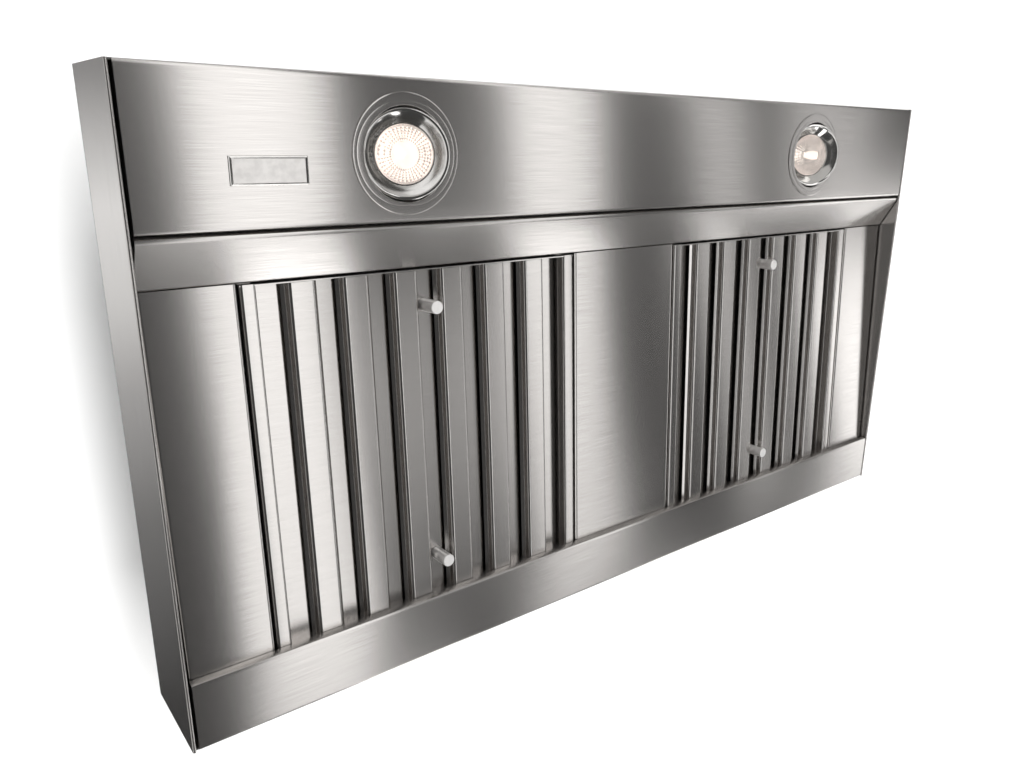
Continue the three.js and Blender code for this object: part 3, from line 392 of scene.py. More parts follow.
def close_tree(tree, entry, last, output):
    """Every tree ends in real mesh with one material."""
    real = add(tree, "GeometryNodeRealizeInstances", {"Geometry": last})
    painted = add(tree, "GeometryNodeSetMaterial",
                  {"Geometry": real.outputs["Geometry"], "Material": entry.outputs["Material"]})
    tree.links.new(painted.outputs["Geometry"], output.inputs["Geometry"])
    return tree


def straight_row_tree():
    """Repeats the mesh it is given along X, centred: the slats of a filter."""
    tree, entry, output = new_tree("straight_row", [
        ("Count", "Int"), ("Pitch", "Float"), ("Material", "Material")])
    last = add(tree, "ShaderNodeMath", {0: entry.outputs["Count"]}, {1: 1.0}, operation="SUBTRACT")
    span = add(tree, "ShaderNodeMath", {0: last.outputs[0], 1: entry.outputs["Pitch"]},
               operation="MULTIPLY")
    half = add(tree, "ShaderNodeMath", {0: span.outputs[0]}, {1: -0.5}, operation="MULTIPLY")
    start = add(tree, "ShaderNodeCombineXYZ", {"X": half.outputs[0]})
    step = add(tree, "ShaderNodeCombineXYZ", {"X": entry.outputs["Pitch"]})
    line = add(tree, "GeometryNodeMeshLine", {
        "Count": entry.outputs["Count"], "Start Location": start.outputs[0],
        "Offset": step.outputs[0]})
    placed = add(tree, "GeometryNodeInstanceOnPoints", {
        "Points": line.outputs["Mesh"], "Instance": entry.outputs["Geometry"]})
    return close_tree(tree, entry, placed.outputs["Instances"], output)


def round_row_tree():
    """Repeats the mesh it is given round an axis through the origin: the blades of the wheel."""
    tree, entry, output = new_tree("round_row", [
        ("Count", "Int"), ("Axis", "Vector"), ("Material", "Material")])
    dots = add(tree, "GeometryNodePoints", {"Count": entry.outputs["Count"]})
    number = add(tree, "GeometryNodeInputIndex")
    share = add(tree, "ShaderNodeMath", {0: number.outputs[0], 1: entry.outputs["Count"]},
                operation="DIVIDE")
    angle = add(tree, "ShaderNodeMath", {0: share.outputs[0]}, {1: 2 * math.pi},
                operation="MULTIPLY")
    turn = add(tree, "ShaderNodeVectorMath",
               {"Vector": entry.outputs["Axis"], "Scale": angle.outputs[0]}, operation="SCALE")
    placed = add(tree, "GeometryNodeInstanceOnPoints", {
        "Points": dots.outputs[0], "Instance": entry.outputs["Geometry"],
        "Rotation": turn.outputs["Vector"]})
    return close_tree(tree, entry, placed.outputs["Instances"], output)


def hex_screw_tree():
    """A hexagon washer-head sheet screw on each point it is given, turned to the facing."""
    tree, entry, output = new_tree("hex_screws", [
        ("Head radius", "Float"), ("Head height", "Float"), ("Washer radius", "Float"),
        ("Washer height", "Float"), ("Material", "Material")])
    washer = add(tree, "GeometryNodeMeshCone", {
        "Radius Bottom": entry.outputs["Washer radius"], "Radius Top": entry.outputs["Head radius"],
        "Depth": entry.outputs["Washer height"]}, {"Vertices": 20})
    head = add(tree, "GeometryNodeMeshCylinder", {
        "Radius": entry.outputs["Head radius"], "Depth": entry.outputs["Head height"]},
        {"Vertices": 6})
    half = add(tree, "ShaderNodeMath", {0: entry.outputs["Head height"]}, {1: 0.5},
               operation="MULTIPLY")
    up = add(tree, "ShaderNodeCombineXYZ", {"Z": half.outputs[0]})
    lifted = add(tree, "GeometryNodeTransform", {
        "Geometry": head.outputs["Mesh"], "Translation": up.outputs[0]})
    whole = add(tree, "GeometryNodeJoinGeometry")
    tree.links.new(washer.outputs["Mesh"], whole.inputs["Geometry"])
    tree.links.new(lifted.outputs["Geometry"], whole.inputs["Geometry"])
    facing = add(tree, "GeometryNodeInputNamedAttribute", None, {"Name": "facing"},
                 data_type="FLOAT_VECTOR")
    turned = add(tree, "FunctionNodeAlignRotationToVector",
                 {"Vector": facing.outputs["Attribute"]}, axis="Z")
    placed = add(tree, "GeometryNodeInstanceOnPoints", {
        "Points": entry.outputs["Geometry"], "Instance": whole.outputs["Geometry"],
        "Rotation": turned.outputs["Rotation"]})
    return close_tree(tree, entry, placed.outputs["Instances"], output)


def grow(mesh, tree, values):
    """The mesh that a tree makes from the mesh it is given and its named inputs."""

    def prepare(carrier):
        modifier = carrier.modifiers.new("grow", "NODES")
        modifier.node_group = tree
        for item in tree.interface.items_tree:
            if item.in_out == "INPUT" and item.name in values:
                modifier[item.identifier] = values[item.name]
    return apply_modifiers(mesh, prepare)


STRAIGHT_ROW = straight_row_tree()
ROUND_ROW = round_row_tree()
HEX_SCREWS = hex_screw_tree()

# --- Sheet metal ----------------------------------------------------------------------------

for node, grain in (
    ("left_side_panel", "y"), ("right_side_panel", "y"), ("light_panel", "x"),
    ("sloped_strip", "x"), ("rear_trough", "x"), ("blank_panel_left", "x"),
    ("blank_panel_middle", "x"), ("blank_panel_right", "x"), ("filter_spring_left", "x"),
    ("filter_spring_right", "x"),
):
    copy_piece(node, STAINLESS, grain)


def folded_outline(path, thickness, bend, steps):
    """Outline of a folded sheet: its mid-line thickened to both sides, every corner rounded."""
    half = thickness / 2
    mid = bend + half
    points = [Vector(p) for p in path]
    legs = [(b - a).normalized() for a, b in zip(points, points[1:])]
    left, right = [], []

    def push(place, normal):
        left.append(place + normal * half)
        right.append(place - normal * half)

    push(points[0], Vector((-legs[0].y, legs[0].x)))
    for corner, into, out in zip(points[1:-1], legs, legs[1:]):
        turn = math.atan2(into.x * out.y - into.y * out.x, into.dot(out))
        side = math.copysign(1, turn)
        normal = Vector((-into.y, into.x))
        centre = corner - into * mid * math.tan(abs(turn) / 2) + normal * side * mid
        for step in range(steps + 1):
            around = Matrix.Rotation(turn * step / steps, 2) @ normal
            push(centre - around * side * mid, around)
    push(points[-1], Vector((-legs[-1].y, legs[-1].x)))
    return right + left[::-1]


def extruded(name, outline, start, end):
    """A solid of an (x, z) outline from one y to another, its ends closed."""
    mesh_data = bmesh.new()
    near = [mesh_data.verts.new((p.x, start, p.y)) for p in outline]
    far = [mesh_data.verts.new((p.x, end, p.y)) for p in outline]
    mesh_data.faces.new(near)
    mesh_data.faces.new(far[::-1])
    for i in range(len(outline)):
        j = (i + 1) % len(outline)
        mesh_data.faces.new((near[i], far[i], far[j], near[j]))
    bmesh.ops.recalc_face_normals(mesh_data, faces=mesh_data.faces)
    bmesh.ops.triangulate(mesh_data, faces=[f for f in mesh_data.faces if len(f.verts) > 4])
    soften(mesh_data)
    return mesh_from(mesh_data, name, "x")


def bay_place(x):
    """The filter bay slopes a little towards the rear; its own frame at one x."""
    return (Matrix.Translation(BAY_MIDDLE + Vector((x, 0, 0)))
            @ Matrix.Rotation(-BAY_SLOPE, 4, "X"))


def joined(name, meshes):
    """One mesh of several, each kept whole."""
    mesh_data = bmesh.new()
    for mesh in meshes:
        mesh_data.from_mesh(mesh)
        bpy.data.meshes.remove(mesh)
    whole = bpy.data.meshes.new(name)
    mesh_data.to_mesh(whole)
    mesh_data.free()
    return whole


# A slat is a hat channel open at the back; paths run along the middle of the sheet.
FACE = 0.5 * MM
SLAT_HALF = SLAT_PITCH / 4 - SHEET / 2
SLAT_WALL_END = 7.5 * MM
SLAT_FLANGE = 4 * MM
SLAT_FLANGE_END = 9.5 * MM
SLAT_PATH = [(-SLAT_HALF - SLAT_FLANGE, SLAT_FLANGE_END), (-SLAT_HALF, SLAT_WALL_END),
             (-SLAT_HALF, FACE), (SLAT_HALF, FACE), (SLAT_HALF, SLAT_WALL_END),
             (SLAT_HALF + SLAT_FLANGE, SLAT_FLANGE_END)]
SLAT_BEND = 2.2 * MM
SLAT_BEND_STEPS = 7
SLAT_END = 164.0 * MM

for side in SIDES:
    slat = extruded("slat", folded_outline(SLAT_PATH, SHEET, SLAT_BEND, SLAT_BEND_STEPS),
                    -SLAT_END, SLAT_END)
    row = grow(slat, STRAIGHT_ROW,
               {"Count": SLAT_COUNT, "Pitch": SLAT_PITCH, "Material": STAINLESS})
    row = apply_modifiers(row, flatten_faces)
    row.transform(bay_place(FILTER_X[side]))
    finish_piece(f"front_slats_{side}", row, STAINLESS, side + "_filter",
                 [f"front_baffle_{side}_{number}" for number in range(1, 7)])

# A filter's frame: two folded side rails, an upright plate at each end, and behind the slats a
# row of deeper channels that catch the grease. Millimetres, along the middle of the sheet.
RAIL_NEAR = 160.575
RAIL_FAR = 173.075
RAIL_LIP = 8
RAIL_END = 165.62
FRAME_FRONT = 0.5
FRAME_BACK = 13.5
PLATE_NEAR = 164.22
PLATE_FAR = 165.22
CHANNEL_HALF = 16.84
CHANNEL_FRONT = 6.5
CHANNEL_PATH = [(-CHANNEL_HALF, CHANNEL_FRONT), (-CHANNEL_HALF, FRAME_BACK),
                (CHANNEL_HALF, FRAME_BACK), (CHANNEL_HALF, CHANNEL_FRONT)]
CHANNEL_COUNT = 7
CHANNEL_END = 164.7
FRAME_BEND = 1.6
FRAME_BEND_STEPS = 5


def folded_length(name, path, end):
    """A folded sheet of the filter's frame, as long to the front as to the rear."""
    outline = folded_outline(in_mm(path), SHEET, FRAME_BEND * MM, FRAME_BEND_STEPS)
    return extruded(name, outline, -end * MM, end * MM)


def filter_frame():
    """The whole frame of one filter, about its own middle."""
    parts = []
    for way in (-1, 1):
        path = [(way * RAIL_NEAR, RAIL_LIP), (way * RAIL_NEAR, FRAME_FRONT),
                (way * RAIL_FAR, FRAME_FRONT), (way * RAIL_FAR, FRAME_BACK),
                (way * RAIL_NEAR, FRAME_BACK)]
        parts.append(folded_length("rail", path, RAIL_END))
        plate = [Vector(point) for point in in_mm([
            (-RAIL_FAR, FRAME_FRONT), (RAIL_FAR, FRAME_FRONT),
            (RAIL_FAR, FRAME_BACK), (-RAIL_FAR, FRAME_BACK)])]
        parts.append(extruded("end_plate", plate,
                              *sorted((way * PLATE_NEAR * MM, way * PLATE_FAR * MM))))
    channel = folded_length("channel", CHANNEL_PATH, CHANNEL_END)
    parts.append(grow(channel, STRAIGHT_ROW, {"Count": CHANNEL_COUNT, "Pitch": SLAT_PITCH,
                                              "Material": STAINLESS}))
    return apply_modifiers(joined("filter_frame", parts), flatten_faces)


for side in SIDES:
    mesh = filter_frame()
    mesh.transform(bay_place(FILTER_X[side]))
    finish_piece(f"filter_frame_{side}_folded", mesh, STAINLESS, side + "_filter",
                 [f"filter_frame_{side}"])

# --- Pull knobs -----------------------------------------------------------------------------

# Profiles to be turned are (radius, height) in millimetres.
KNOB = [(0, -12), (5.1, -12)] + curve_points((5.5, -11.2), 0.8, -90, 0, 4) + [
    (6.3, -9.6), (6.15, -9.5), (6.15, -9.3), (6.3, -9.2), (6.3, 12.7), (0, 12.7)]
KNOB_FROM_MIDDLE = 128
KNOBS_FORWARD = 2.25

for side in SIDES:
    for place, end in (("front", -1), ("rear", 1)):
        mesh = lathe(f"knob_{side}_{place}", in_mm(KNOB), 48, grain="z")
        y = (KNOB_FROM_MIDDLE * end - KNOBS_FORWARD) * MM
        mesh.transform(bay_place(FILTER_X[side]) @ Matrix.Translation((0, y, 0)))
        node = f"filter_knob_{side}_{place}"
        finish_piece(node + "_turned", mesh, SATIN_BAR, body_name(node), [node])

# --- Lamps ----------------------------------------------------------------------------------

TRIM = [(39.5, -0.3), (39.55, -0.6), (39.8, -0.85), (40.3, -0.95), (42.6, -0.95), (42.9, -0.85),
        (43.3, -0.85), (43.6, -0.95), (48.9, -0.95), (49.5, -0.9), (49.85, -0.75), (50, -0.5),
        (49.9, -0.3), (40.7, -0.3), (40.7, 16), (39.5, 16)]
RIDGE = (42 * MM, 45 * MM)
RIDGE_IN = 1.2 * MM
RIDGE_SWELL = 4.0 * MM
RING = [(36.2, -6), (36.9, -5.85), (37.35, -5.5), (37.5, -5), (37.5, 6), (25.5, 6), (25.5, 3.8),
        (25.7, 3.3), (26.1, 3), (29.9, -0.8), (33.7, -4.6), (34.5, -5.3), (35.3, -5.8)]
SOCKET = [(0, 47.3), (10.4, 47.3), (11, 47.9), (11, 52), (10.4, 52.4), (10.4, 53), (11, 53.4),
          (11, 59.3), (8, 62.3), (0, 62.3)]
BURNER_STEM = [(0, 13)] + curve_points((0, 16), 3, -60, 0, 4) + [(3, 26), (4.5, 28.2), (0, 28.2)]
LENS_RADIUS = 25
LENS_RIM = 23.3
LENS_EYE = 11.3
EYE_SINK = 0.5
DOME_EDGE = 3
DOME_RISE = 2.2
PRISM_RINGS = 5
PRISM_TURNS = 40
PRISM_HEIGHT = 0.55
PRISM_UNEVEN = 0.2


def pinch(radius, height, angle):
    """The embossed ridge is an oval that closes in on the ring at the two pivots."""
    wide = abs(math.cos(angle)) ** 0.8
    if RIDGE[0] < radius < RIDGE[1]:
        return radius - RIDGE_IN + RIDGE_SWELL * wide, height
    return radius, height


def dome(radius):
    """Height of the bulb's front, a low dome, in millimetres."""
    return DOME_EDGE - DOME_RISE * (1 - (radius / LENS_RADIUS) ** 2)


def prism_lens(name):
    """Pressed bulb front: a plain eye, rings of four-sided prisms round it and a plain rim."""
    mesh_data = bmesh.new()

    def point(radius, angle, height):
        return mesh_data.verts.new(
            (radius * math.cos(angle) * MM, radius * math.sin(angle) * MM, height * MM))

    def circle(radius, height):
        return [point(radius, 2 * math.pi * i / PRISM_TURNS, height) for i in range(PRISM_TURNS)]

    def bridge(low, high):
        for i in range(PRISM_TURNS):
            j = (i + 1) % PRISM_TURNS
            mesh_data.faces.new((low[i], low[j], high[j], high[i]))

    eye = [circle(LENS_EYE * share, dome(LENS_EYE * share) - EYE_SINK)
           for share in (0.25, 0.5, 0.75, 0.95)]
    tip = point(0, 0, dome(0) - EYE_SINK)
    for i in range(PRISM_TURNS):
        mesh_data.faces.new((tip, eye[0][i], eye[0][(i + 1) % PRISM_TURNS]))
    step = (LENS_RIM - LENS_EYE) / PRISM_RINGS
    rings = [circle(LENS_EYE + step * n, dome(LENS_EYE + step * n))
             for n in range(PRISM_RINGS + 1)]
    for low, high in zip(eye, eye[1:] + [rings[0]]):
        bridge(low, high)
    for n, (low, high) in enumerate(zip(rings, rings[1:])):
        middle = LENS_EYE + step * (n + 0.5)
        for i in range(PRISM_TURNS):
            j = (i + 1) % PRISM_TURNS
            rise = PRISM_HEIGHT + PRISM_UNEVEN * math.sin(7 * i + 3 * n)
            peak = point(middle, 2 * math.pi * (i + 0.5) / PRISM_TURNS, dome(middle) - rise)
            around = (low[i], low[j], high[j], high[i])
            for a, b in zip(around, around[1:] + around[:1]):
                mesh_data.faces.new((a, b, peak))
    edge = [circle(24.4, 2.9), circle(LENS_RADIUS, 3.3), circle(LENS_RADIUS, 5.4)]
    for low, high in zip([rings[-1]] + edge, edge):
        bridge(low, high)
    mesh_data.faces.new(edge[-1])
    bmesh.ops.recalc_face_normals(mesh_data, faces=mesh_data.faces)
    soften(mesh_data, PRISM_SOFT_ANGLE)
    return mesh_from(mesh_data, name)


def bowl_profile():
    """Mirror bowl with a real hollow: out along the back, in round the burner's neck."""
    outside = [(9 + 16 * math.sqrt(1 - n / 8), 5.7 + 34 * n / 8) for n in range(9)]
    inside = [(24.2 * math.sqrt(n / 10), 32 - 26.3 * n / 10) for n in range(2, 11)]
    return in_mm([(0, 28.5), (8, 28.5)] + inside + outside + [(9, 47), (0, 47)])


for side in SIDES:
    pivot = PIVOTS[side + "_lamp_tilt"]
    fixed = Matrix.Translation((LAMP_X[side], LAMP_Y, 0))
    tilted = Matrix.Translation(pivot) @ Matrix.Rotation(LAMP_TILT, 4, "Y")
    body = side + "_lamp"
    trim = apply_modifiers(lathe("trim", in_mm(TRIM), 96, pinch, closed=True, grain="x"),
                           flatten_faces)
    ring = lathe("ring", in_mm(RING), 96, closed=True)
    lens = prism_lens("lens")
    bowl = lathe("bowl", bowl_profile(), 64)
    burner = lathe("burner", in_mm(BURNER_STEM), 24)
    socket = lathe("socket", in_mm(SOCKET), 40)
    trim.transform(fixed)
    for mesh in (ring, lens, bowl, burner, socket):
        mesh.transform(tilted)
    finish_piece(f"trim_{side}", trim, STAINLESS, "pan", [f"lamp_trim_{side}"])
    finish_piece(f"ring_{side}", ring, CHROME, body, [f"gimbal_ring_{side}"])
    finish_piece(f"lens_{side}", lens, GLASS, body, [f"bulb_lens_{side}"])
    # The mirror bowl's glow is painted light, standing in for its lamp's light on the mirror.
    finish_piece(f"bowl_{side}", bowl, MIRROR_BOWL_PAINTED_GLOW, body, [f"bulb_body_{side}"])
    finish_piece(f"burner_{side}", burner, BURNER, body)
    finish_piece(f"socket_{side}", socket, BLACK_PLASTIC, body,
                 [f"bulb_socket_{side}"])

# --- Bare name plate ------------------------------------------------------------------------

PLATE_MIDDLE = Vector((-407, -203.5, 0)) * MM
PLATE_HALF = Vector((30.5, 11)) * MM
PLATE_FRAME = 1.9


def plate(name, half, heights):
    """A rectangle that steps in as it rises; heights are (inset, height) in millimetres."""
    mesh_data = bmesh.new()
    rings = []
    for inset, height in heights:
        x, y = half.x - inset * MM, half.y - inset * MM
        rings.append([mesh_data.verts.new(
            (PLATE_MIDDLE.x + sx * x, PLATE_MIDDLE.y + sy * y, -height * MM))
            for sx, sy in ((-1, -1), (1, -1), (1, 1), (-1, 1))])
    mesh_data.faces.new(rings[0])
    mesh_data.faces.new(rings[-1][::-1])
    for low, high in zip(rings, rings[1:]):
        for i in range(4):
            j = (i + 1) % 4
            mesh_data.faces.new((low[i], high[i], high[j], low[j]))
    bmesh.ops.recalc_face_normals(mesh_data, faces=mesh_data.faces)
    return mesh_from(mesh_data, name)


finish_piece("plate_frame", plate("plate_frame", PLATE_HALF, [
    (0, 0), (0, 0.9), (0.5, 1.5), (1.1, 1.6), (1.7, 1.3), (PLATE_FRAME, 0.8)]),
    CHROME, "pan")
finish_piece("plate_face", plate("plate_face", PLATE_HALF - Vector((PLATE_FRAME,) * 2) * MM, [
    (0, 0.5), (0, 0.95), (0.3, 1.05)]), BADGE_FACE, "pan")

# --- Above the pan --------------------------------------------------------------------------

for node in ("blower_scroll", "motor_bracket", "damper_flap_front", "damper_flap_rear",
             "blower_box", "top_deck", "wiring_box", "wiring_box_cover"):
    copy_piece(node, GALVANISED)
for node in ("motor_shaft", "damper_rod"):
    copy_piece(node, SATIN_BAR, "x")
copy_piece("lamp_driver", BLACK_PLASTIC)

COLLAR = [(100, 0), (113.5, 0), (113.5, 1.5), (103, 1.5), (101.9, 1.9), (101.5, 3), (101.5, 34),
          (102.2, 34.8), (102.4, 36), (102.2, 37.2), (101.5, 38), (101.5, 48), (100, 48),
          (100, 23.15), (95, 23.15), (95, 21.65), (100, 21.65)]
COLLAR_GAP = 0.3 * MM
CAN = [(46, 1.8), (52, 1.8), (52, 2.8), (47.6, 2.8), (47, 3.4), (47, 79.8), (45, 81.8), (8, 81.8),
       (8, 80.8), (44.6, 80.8), (46, 79.4)]
MOTOR = [(5.3, -170), (14, -170), (15, -169), (44, -168), (50, -165.5), (52, -162), (52, -131),
         (52.6, -130), (52.6, -127), (52, -126), (52, -92), (50, -88.5), (46, -86), (15, -85),
         (13, -84.5), (13, -80), (5.3, -80)]

collar = lathe("collar", in_mm(COLLAR), 96, closed=True)
collar.transform(Matrix.Translation((0, COLLAR_Y, BOX_TOP + COLLAR_GAP)))
finish_piece("collar_spun", collar, GALVANISED, "pan", ["duct_collar"])
for side in SIDES:
    can = lathe("can", in_mm(CAN), 64, closed=True)
    can.transform(Matrix.Translation((LAMP_X[side], LAMP_Y, 0)))
    finish_piece(f"can_{side}", can, GALVANISED, "pan", [f"lamp_can_{side}"])

FAN_AXIS = PIVOTS["wheel_spin"]
ALONG_FAN = Matrix.Translation(FAN_AXIS) @ Matrix.Rotation(math.pi / 2, 4, "Y")
motor = lathe("motor", in_mm(MOTOR), 64, closed=True)
motor.transform(ALONG_FAN)
finish_piece("motor_shell", motor, MOTOR_ENAMEL, body_name("motor"), ["motor"])

# Blower wheel: its forward-curved blades, in millimetres and degrees, and the discs between them.
BLADE_COUNT = 40
BLADE_HALF = 61 * MM
BLADE_OUTER = 9.6
BLADE_INNER = 8.8
BLADE_CENTRE = (63.6, 2.0)
BLADE_START = 8
BLADE_SWEEP = 144


def blade():
    """One forward-curved blade, an arc of thin sheet along the wheel's axis."""
    outline = (curve_points(BLADE_CENTRE, BLADE_OUTER, BLADE_START, BLADE_START + BLADE_SWEEP, 8)
               + curve_points(BLADE_CENTRE, BLADE_INNER, BLADE_START,
                              BLADE_START + BLADE_SWEEP, 8)[::-1])
    mesh_data = bmesh.new()
    near = [mesh_data.verts.new((-BLADE_HALF, y * MM, z * MM)) for y, z in outline]
    far = [mesh_data.verts.new((BLADE_HALF, y * MM, z * MM)) for y, z in outline]
    mesh_data.faces.new(near)
    mesh_data.faces.new(far[::-1])
    for i in range(len(outline)):
        j = (i + 1) % len(outline)
        mesh_data.faces.new((near[i], far[i], far[j], near[j]))
    bmesh.ops.recalc_face_normals(mesh_data, faces=mesh_data.faces)
    soften(mesh_data)
    return mesh_from(mesh_data, "blade")


HUB = [(5.3, -16), (14, -16), (15, -15), (15, -2), (72.5, -1.5), (72.5, 1.5), (15, 2), (15, 15),
       (14, 16), (5.3, 16)]
RIM = [(61, 0), (62, -0.5), (74, -0.5), (75, 0.5), (75, 3.5), (74.5, 4), (62, 4), (61, 3.5)]
RIM_PLACES = (("left", -62), ("right", 58))

blades = grow(blade(), ROUND_ROW,
              {"Count": BLADE_COUNT, "Axis": (1, 0, 0), "Material": GALVANISED})
blades.transform(Matrix.Translation(FAN_AXIS))
hub = lathe("hub", in_mm(HUB), 72, closed=True)
hub.transform(ALONG_FAN)
finish_piece("wheel_blades", blades, GALVANISED, "wheel", ["blower_wheel"])
finish_piece("wheel_hub", hub, GALVANISED, "wheel")
for side, place in RIM_PLACES:
    rim = lathe("rim", in_mm([(r, z + place) for r, z in RIM]), 72, closed=True)
    rim.transform(ALONG_FAN)
    finish_piece(f"wheel_rim_{side}", rim, GALVANISED, "wheel")

# Sheet screws, in millimetres: how high the washers sit and how far out each row stands.
DECK_TOP = 101.8
DECK_SCREW_X = 502
DECK_SCREW_Y = 267
BOX_FLANGE_TOP = 103.6
BOX_SCREW_X = 237
BOX_SCREW_Y = 172.5
COLLAR_FLANGE_TOP = 268.9
COLLAR_SCREW_RADIUS = 108
COLLAR_SCREWS = 8
LID_TOP = 153.9
LID_SCREW_X = (322, 418)
LID_SCREW_Y = 53
SCREW_SIZES = {"Head radius": 3.9 * MM, "Head height": 3.6 * MM, "Washer radius": 5.2 * MM,
               "Washer height": 0.9 * MM}


def screw_points():
    """The place of every sheet screw on the upper side, in millimetres."""
    points = []
    for x in (-DECK_SCREW_X, -400, -300, -200, -100, 0, 100, 200, 300, 400, DECK_SCREW_X):
        points += [(x, y, DECK_TOP) for y in (-DECK_SCREW_Y, DECK_SCREW_Y)]
    for y in (-180, -90, 0, 90, 180):
        points += [(x, y, DECK_TOP) for x in (-DECK_SCREW_X, DECK_SCREW_X)]
    for x in (-200, -120, -40, 40, 120, 200):
        points += [(x, y, BOX_FLANGE_TOP) for y in (-BOX_SCREW_Y, BOX_SCREW_Y)]
    for y in (-150, -75, 0, 75, 150):
        points += [(x, y, BOX_FLANGE_TOP) for x in (-BOX_SCREW_X, BOX_SCREW_X)]
    for n in range(COLLAR_SCREWS):
        angle = math.radians(360 / COLLAR_SCREWS * (n + 0.5))
        points.append((COLLAR_SCREW_RADIUS * math.cos(angle),
                       COLLAR_Y / MM + COLLAR_SCREW_RADIUS * math.sin(angle), COLLAR_FLANGE_TOP))
    for x in LID_SCREW_X:
        points += [(x, y, LID_TOP) for y in (-LID_SCREW_Y, LID_SCREW_Y)]
    return points


def screws(name, places):
    """Sheet screws with an 8 mm hexagon and a pressed washer, all facing up."""
    mesh_data = bmesh.new()
    layer = mesh_data.verts.layers.float_vector.new("facing")
    for place in places:
        mesh_data.verts.new(Vector(place) * MM)[layer] = AXES["z"]
    mesh = grow(mesh_from(mesh_data, name), HEX_SCREWS, dict(SCREW_SIZES, Material=ZINC_SCREW))
    finish_piece(name, mesh, ZINC_SCREW, "pan")


screws("sheet_screws", screw_points())

# --- Camera ---------------------------------------------------------------------------------

# Fitted to the outer corners, the knobs and the lamps of the photograph.
FOCAL_MM = 29.277
SENSOR_MM = 36
CAMERA_PLACE = Vector((-648.1, -234.9, -647.1)) * MM
CAMERA_RIGHT = Vector((0.77679, -0.02060, -0.62942))
CAMERA_UP = Vector((0.16892, -0.95602, 0.23976))
CAMERA_SHIFT = (-0.0466, 0.0045)

camera_data = bpy.data.cameras.new("camera")
camera_data.lens = FOCAL_MM
camera_data.sensor_width = SENSOR_MM
camera_data.shift_x, camera_data.shift_y = CAMERA_SHIFT
camera_data.clip_start = 0.01
camera = bpy.data.objects.new("camera", camera_data)
SCENE.collection.objects.link(camera)
camera.matrix_world = Matrix.Translation(CAMERA_PLACE) @ Matrix(
    (CAMERA_RIGHT, CAMERA_UP, CAMERA_RIGHT.cross(CAMERA_UP))).transposed().to_4x4()
SCENE.camera = camera

# --- Studio ---------------------------------------------------------------------------------

FLOOR_Z = -0.95
STAGE_HALF = 6.0
CARD_Z = -0.93
CARD_LIFT = 0.004
WHITE = srgb("FFFFFF")
WORLD_LIGHT = 0.25
KEY_LEAN = 0.06
KEY_TILTS = (0.02, 0.27, 0.52, 0.77)
KEY_POWER = 3.1
TOP_DIRECTION = (-0.2, 0.3, -1)
TOP_POWER = 1.3
SUN_SPREAD = math.radians(15)
BACKDROP_Z = 0.335
BACKDROP_GLOW = 0.1
LENS_TO_RIM = -CAMERA_PLACE.z
MIRROR_REACH = LENS_TO_RIM - CARD_Z


def world_light():
    """White for the eye, metal and glass; a softer light on matt surfaces."""
    world = bpy.data.worlds.new("studio")
    SCENE.world = world
    world.use_nodes = True
    tree = world.node_tree
    tree.nodes.clear()
    output = add(tree, "ShaderNodeOutputWorld")
    path = add(tree, "ShaderNodeLightPath")
    eye_or_metal = add(tree, "ShaderNodeMath", {
        0: path.outputs["Is Camera Ray"], 1: path.outputs["Is Glossy Ray"]}, operation="MAXIMUM")
    seen = add(tree, "ShaderNodeMath", {
        0: eye_or_metal.outputs[0], 1: path.outputs["Is Transmission Ray"]}, operation="MAXIMUM")
    soft = add(tree, "ShaderNodeBackground", None, {"Color": WHITE, "Strength": WORLD_LIGHT})
    bright = add(tree, "ShaderNodeBackground", None, {"Color": WHITE, "Strength": 1.0})
    mix = add(tree, "ShaderNodeMixShader", {
        "Fac": seen.outputs[0], 1: soft.outputs[0], 2: bright.outputs[0]})
    tree.links.new(mix.outputs[0], output.inputs["Surface"])


def stage_plane(name, corners, material, card=True):
    """A flat piece of studio equipment; a card is seen only in reflections."""
    mesh = bpy.data.meshes.new(name)
    mesh.from_pydata(corners, [], [range(len(corners))])
    mesh.materials.append(material)
    plane = bpy.data.objects.new(name, mesh)
    SCENE.collection.objects.link(plane)
    if card:
        plane.visible_camera = False
        plane.visible_diffuse = False
        plane.visible_shadow = False
        plane.visible_transmission = False
    return plane


def card_material(name, strength):
    """A studio card of one even brightness, such as black felt or a lit diffuser."""
    material, tree, output = new_material(name)
    shader = add(tree, "ShaderNodeEmission", None, {"Color": WHITE, "Strength": strength})
    tree.links.new(shader.outputs[0], output.inputs["Surface"])
    return material


CARD_POWER = 2.4


def grey(brightness):
    """The linear grey that a card of this brightness shows at full power."""
    return (brightness / CARD_POWER,) * 3 + (1.0,)


def fading_card(name, stops, start, end):
    """A card whose brightness changes along Y; stops are (share, linear colour)."""
    material, tree, output = new_material(name)
    where = add(tree, "ShaderNodeTexCoord")
    split = add(tree, "ShaderNodeSeparateXYZ", {"Vector": where.outputs["Object"]})
    share = add(tree, "ShaderNodeMapRange", {"Value": split.outputs["Y"]},
                {"From Min": start, "From Max": end})
    tone = add(tree, "ShaderNodeValToRGB", {"Fac": share.outputs["Result"]}, stops=stops)
    shader = add(tree, "ShaderNodeEmission", {"Color": tone.outputs["Color"]},
                 {"Strength": CARD_POWER})
    tree.links.new(shader.outputs[0], output.inputs["Surface"])
    return material


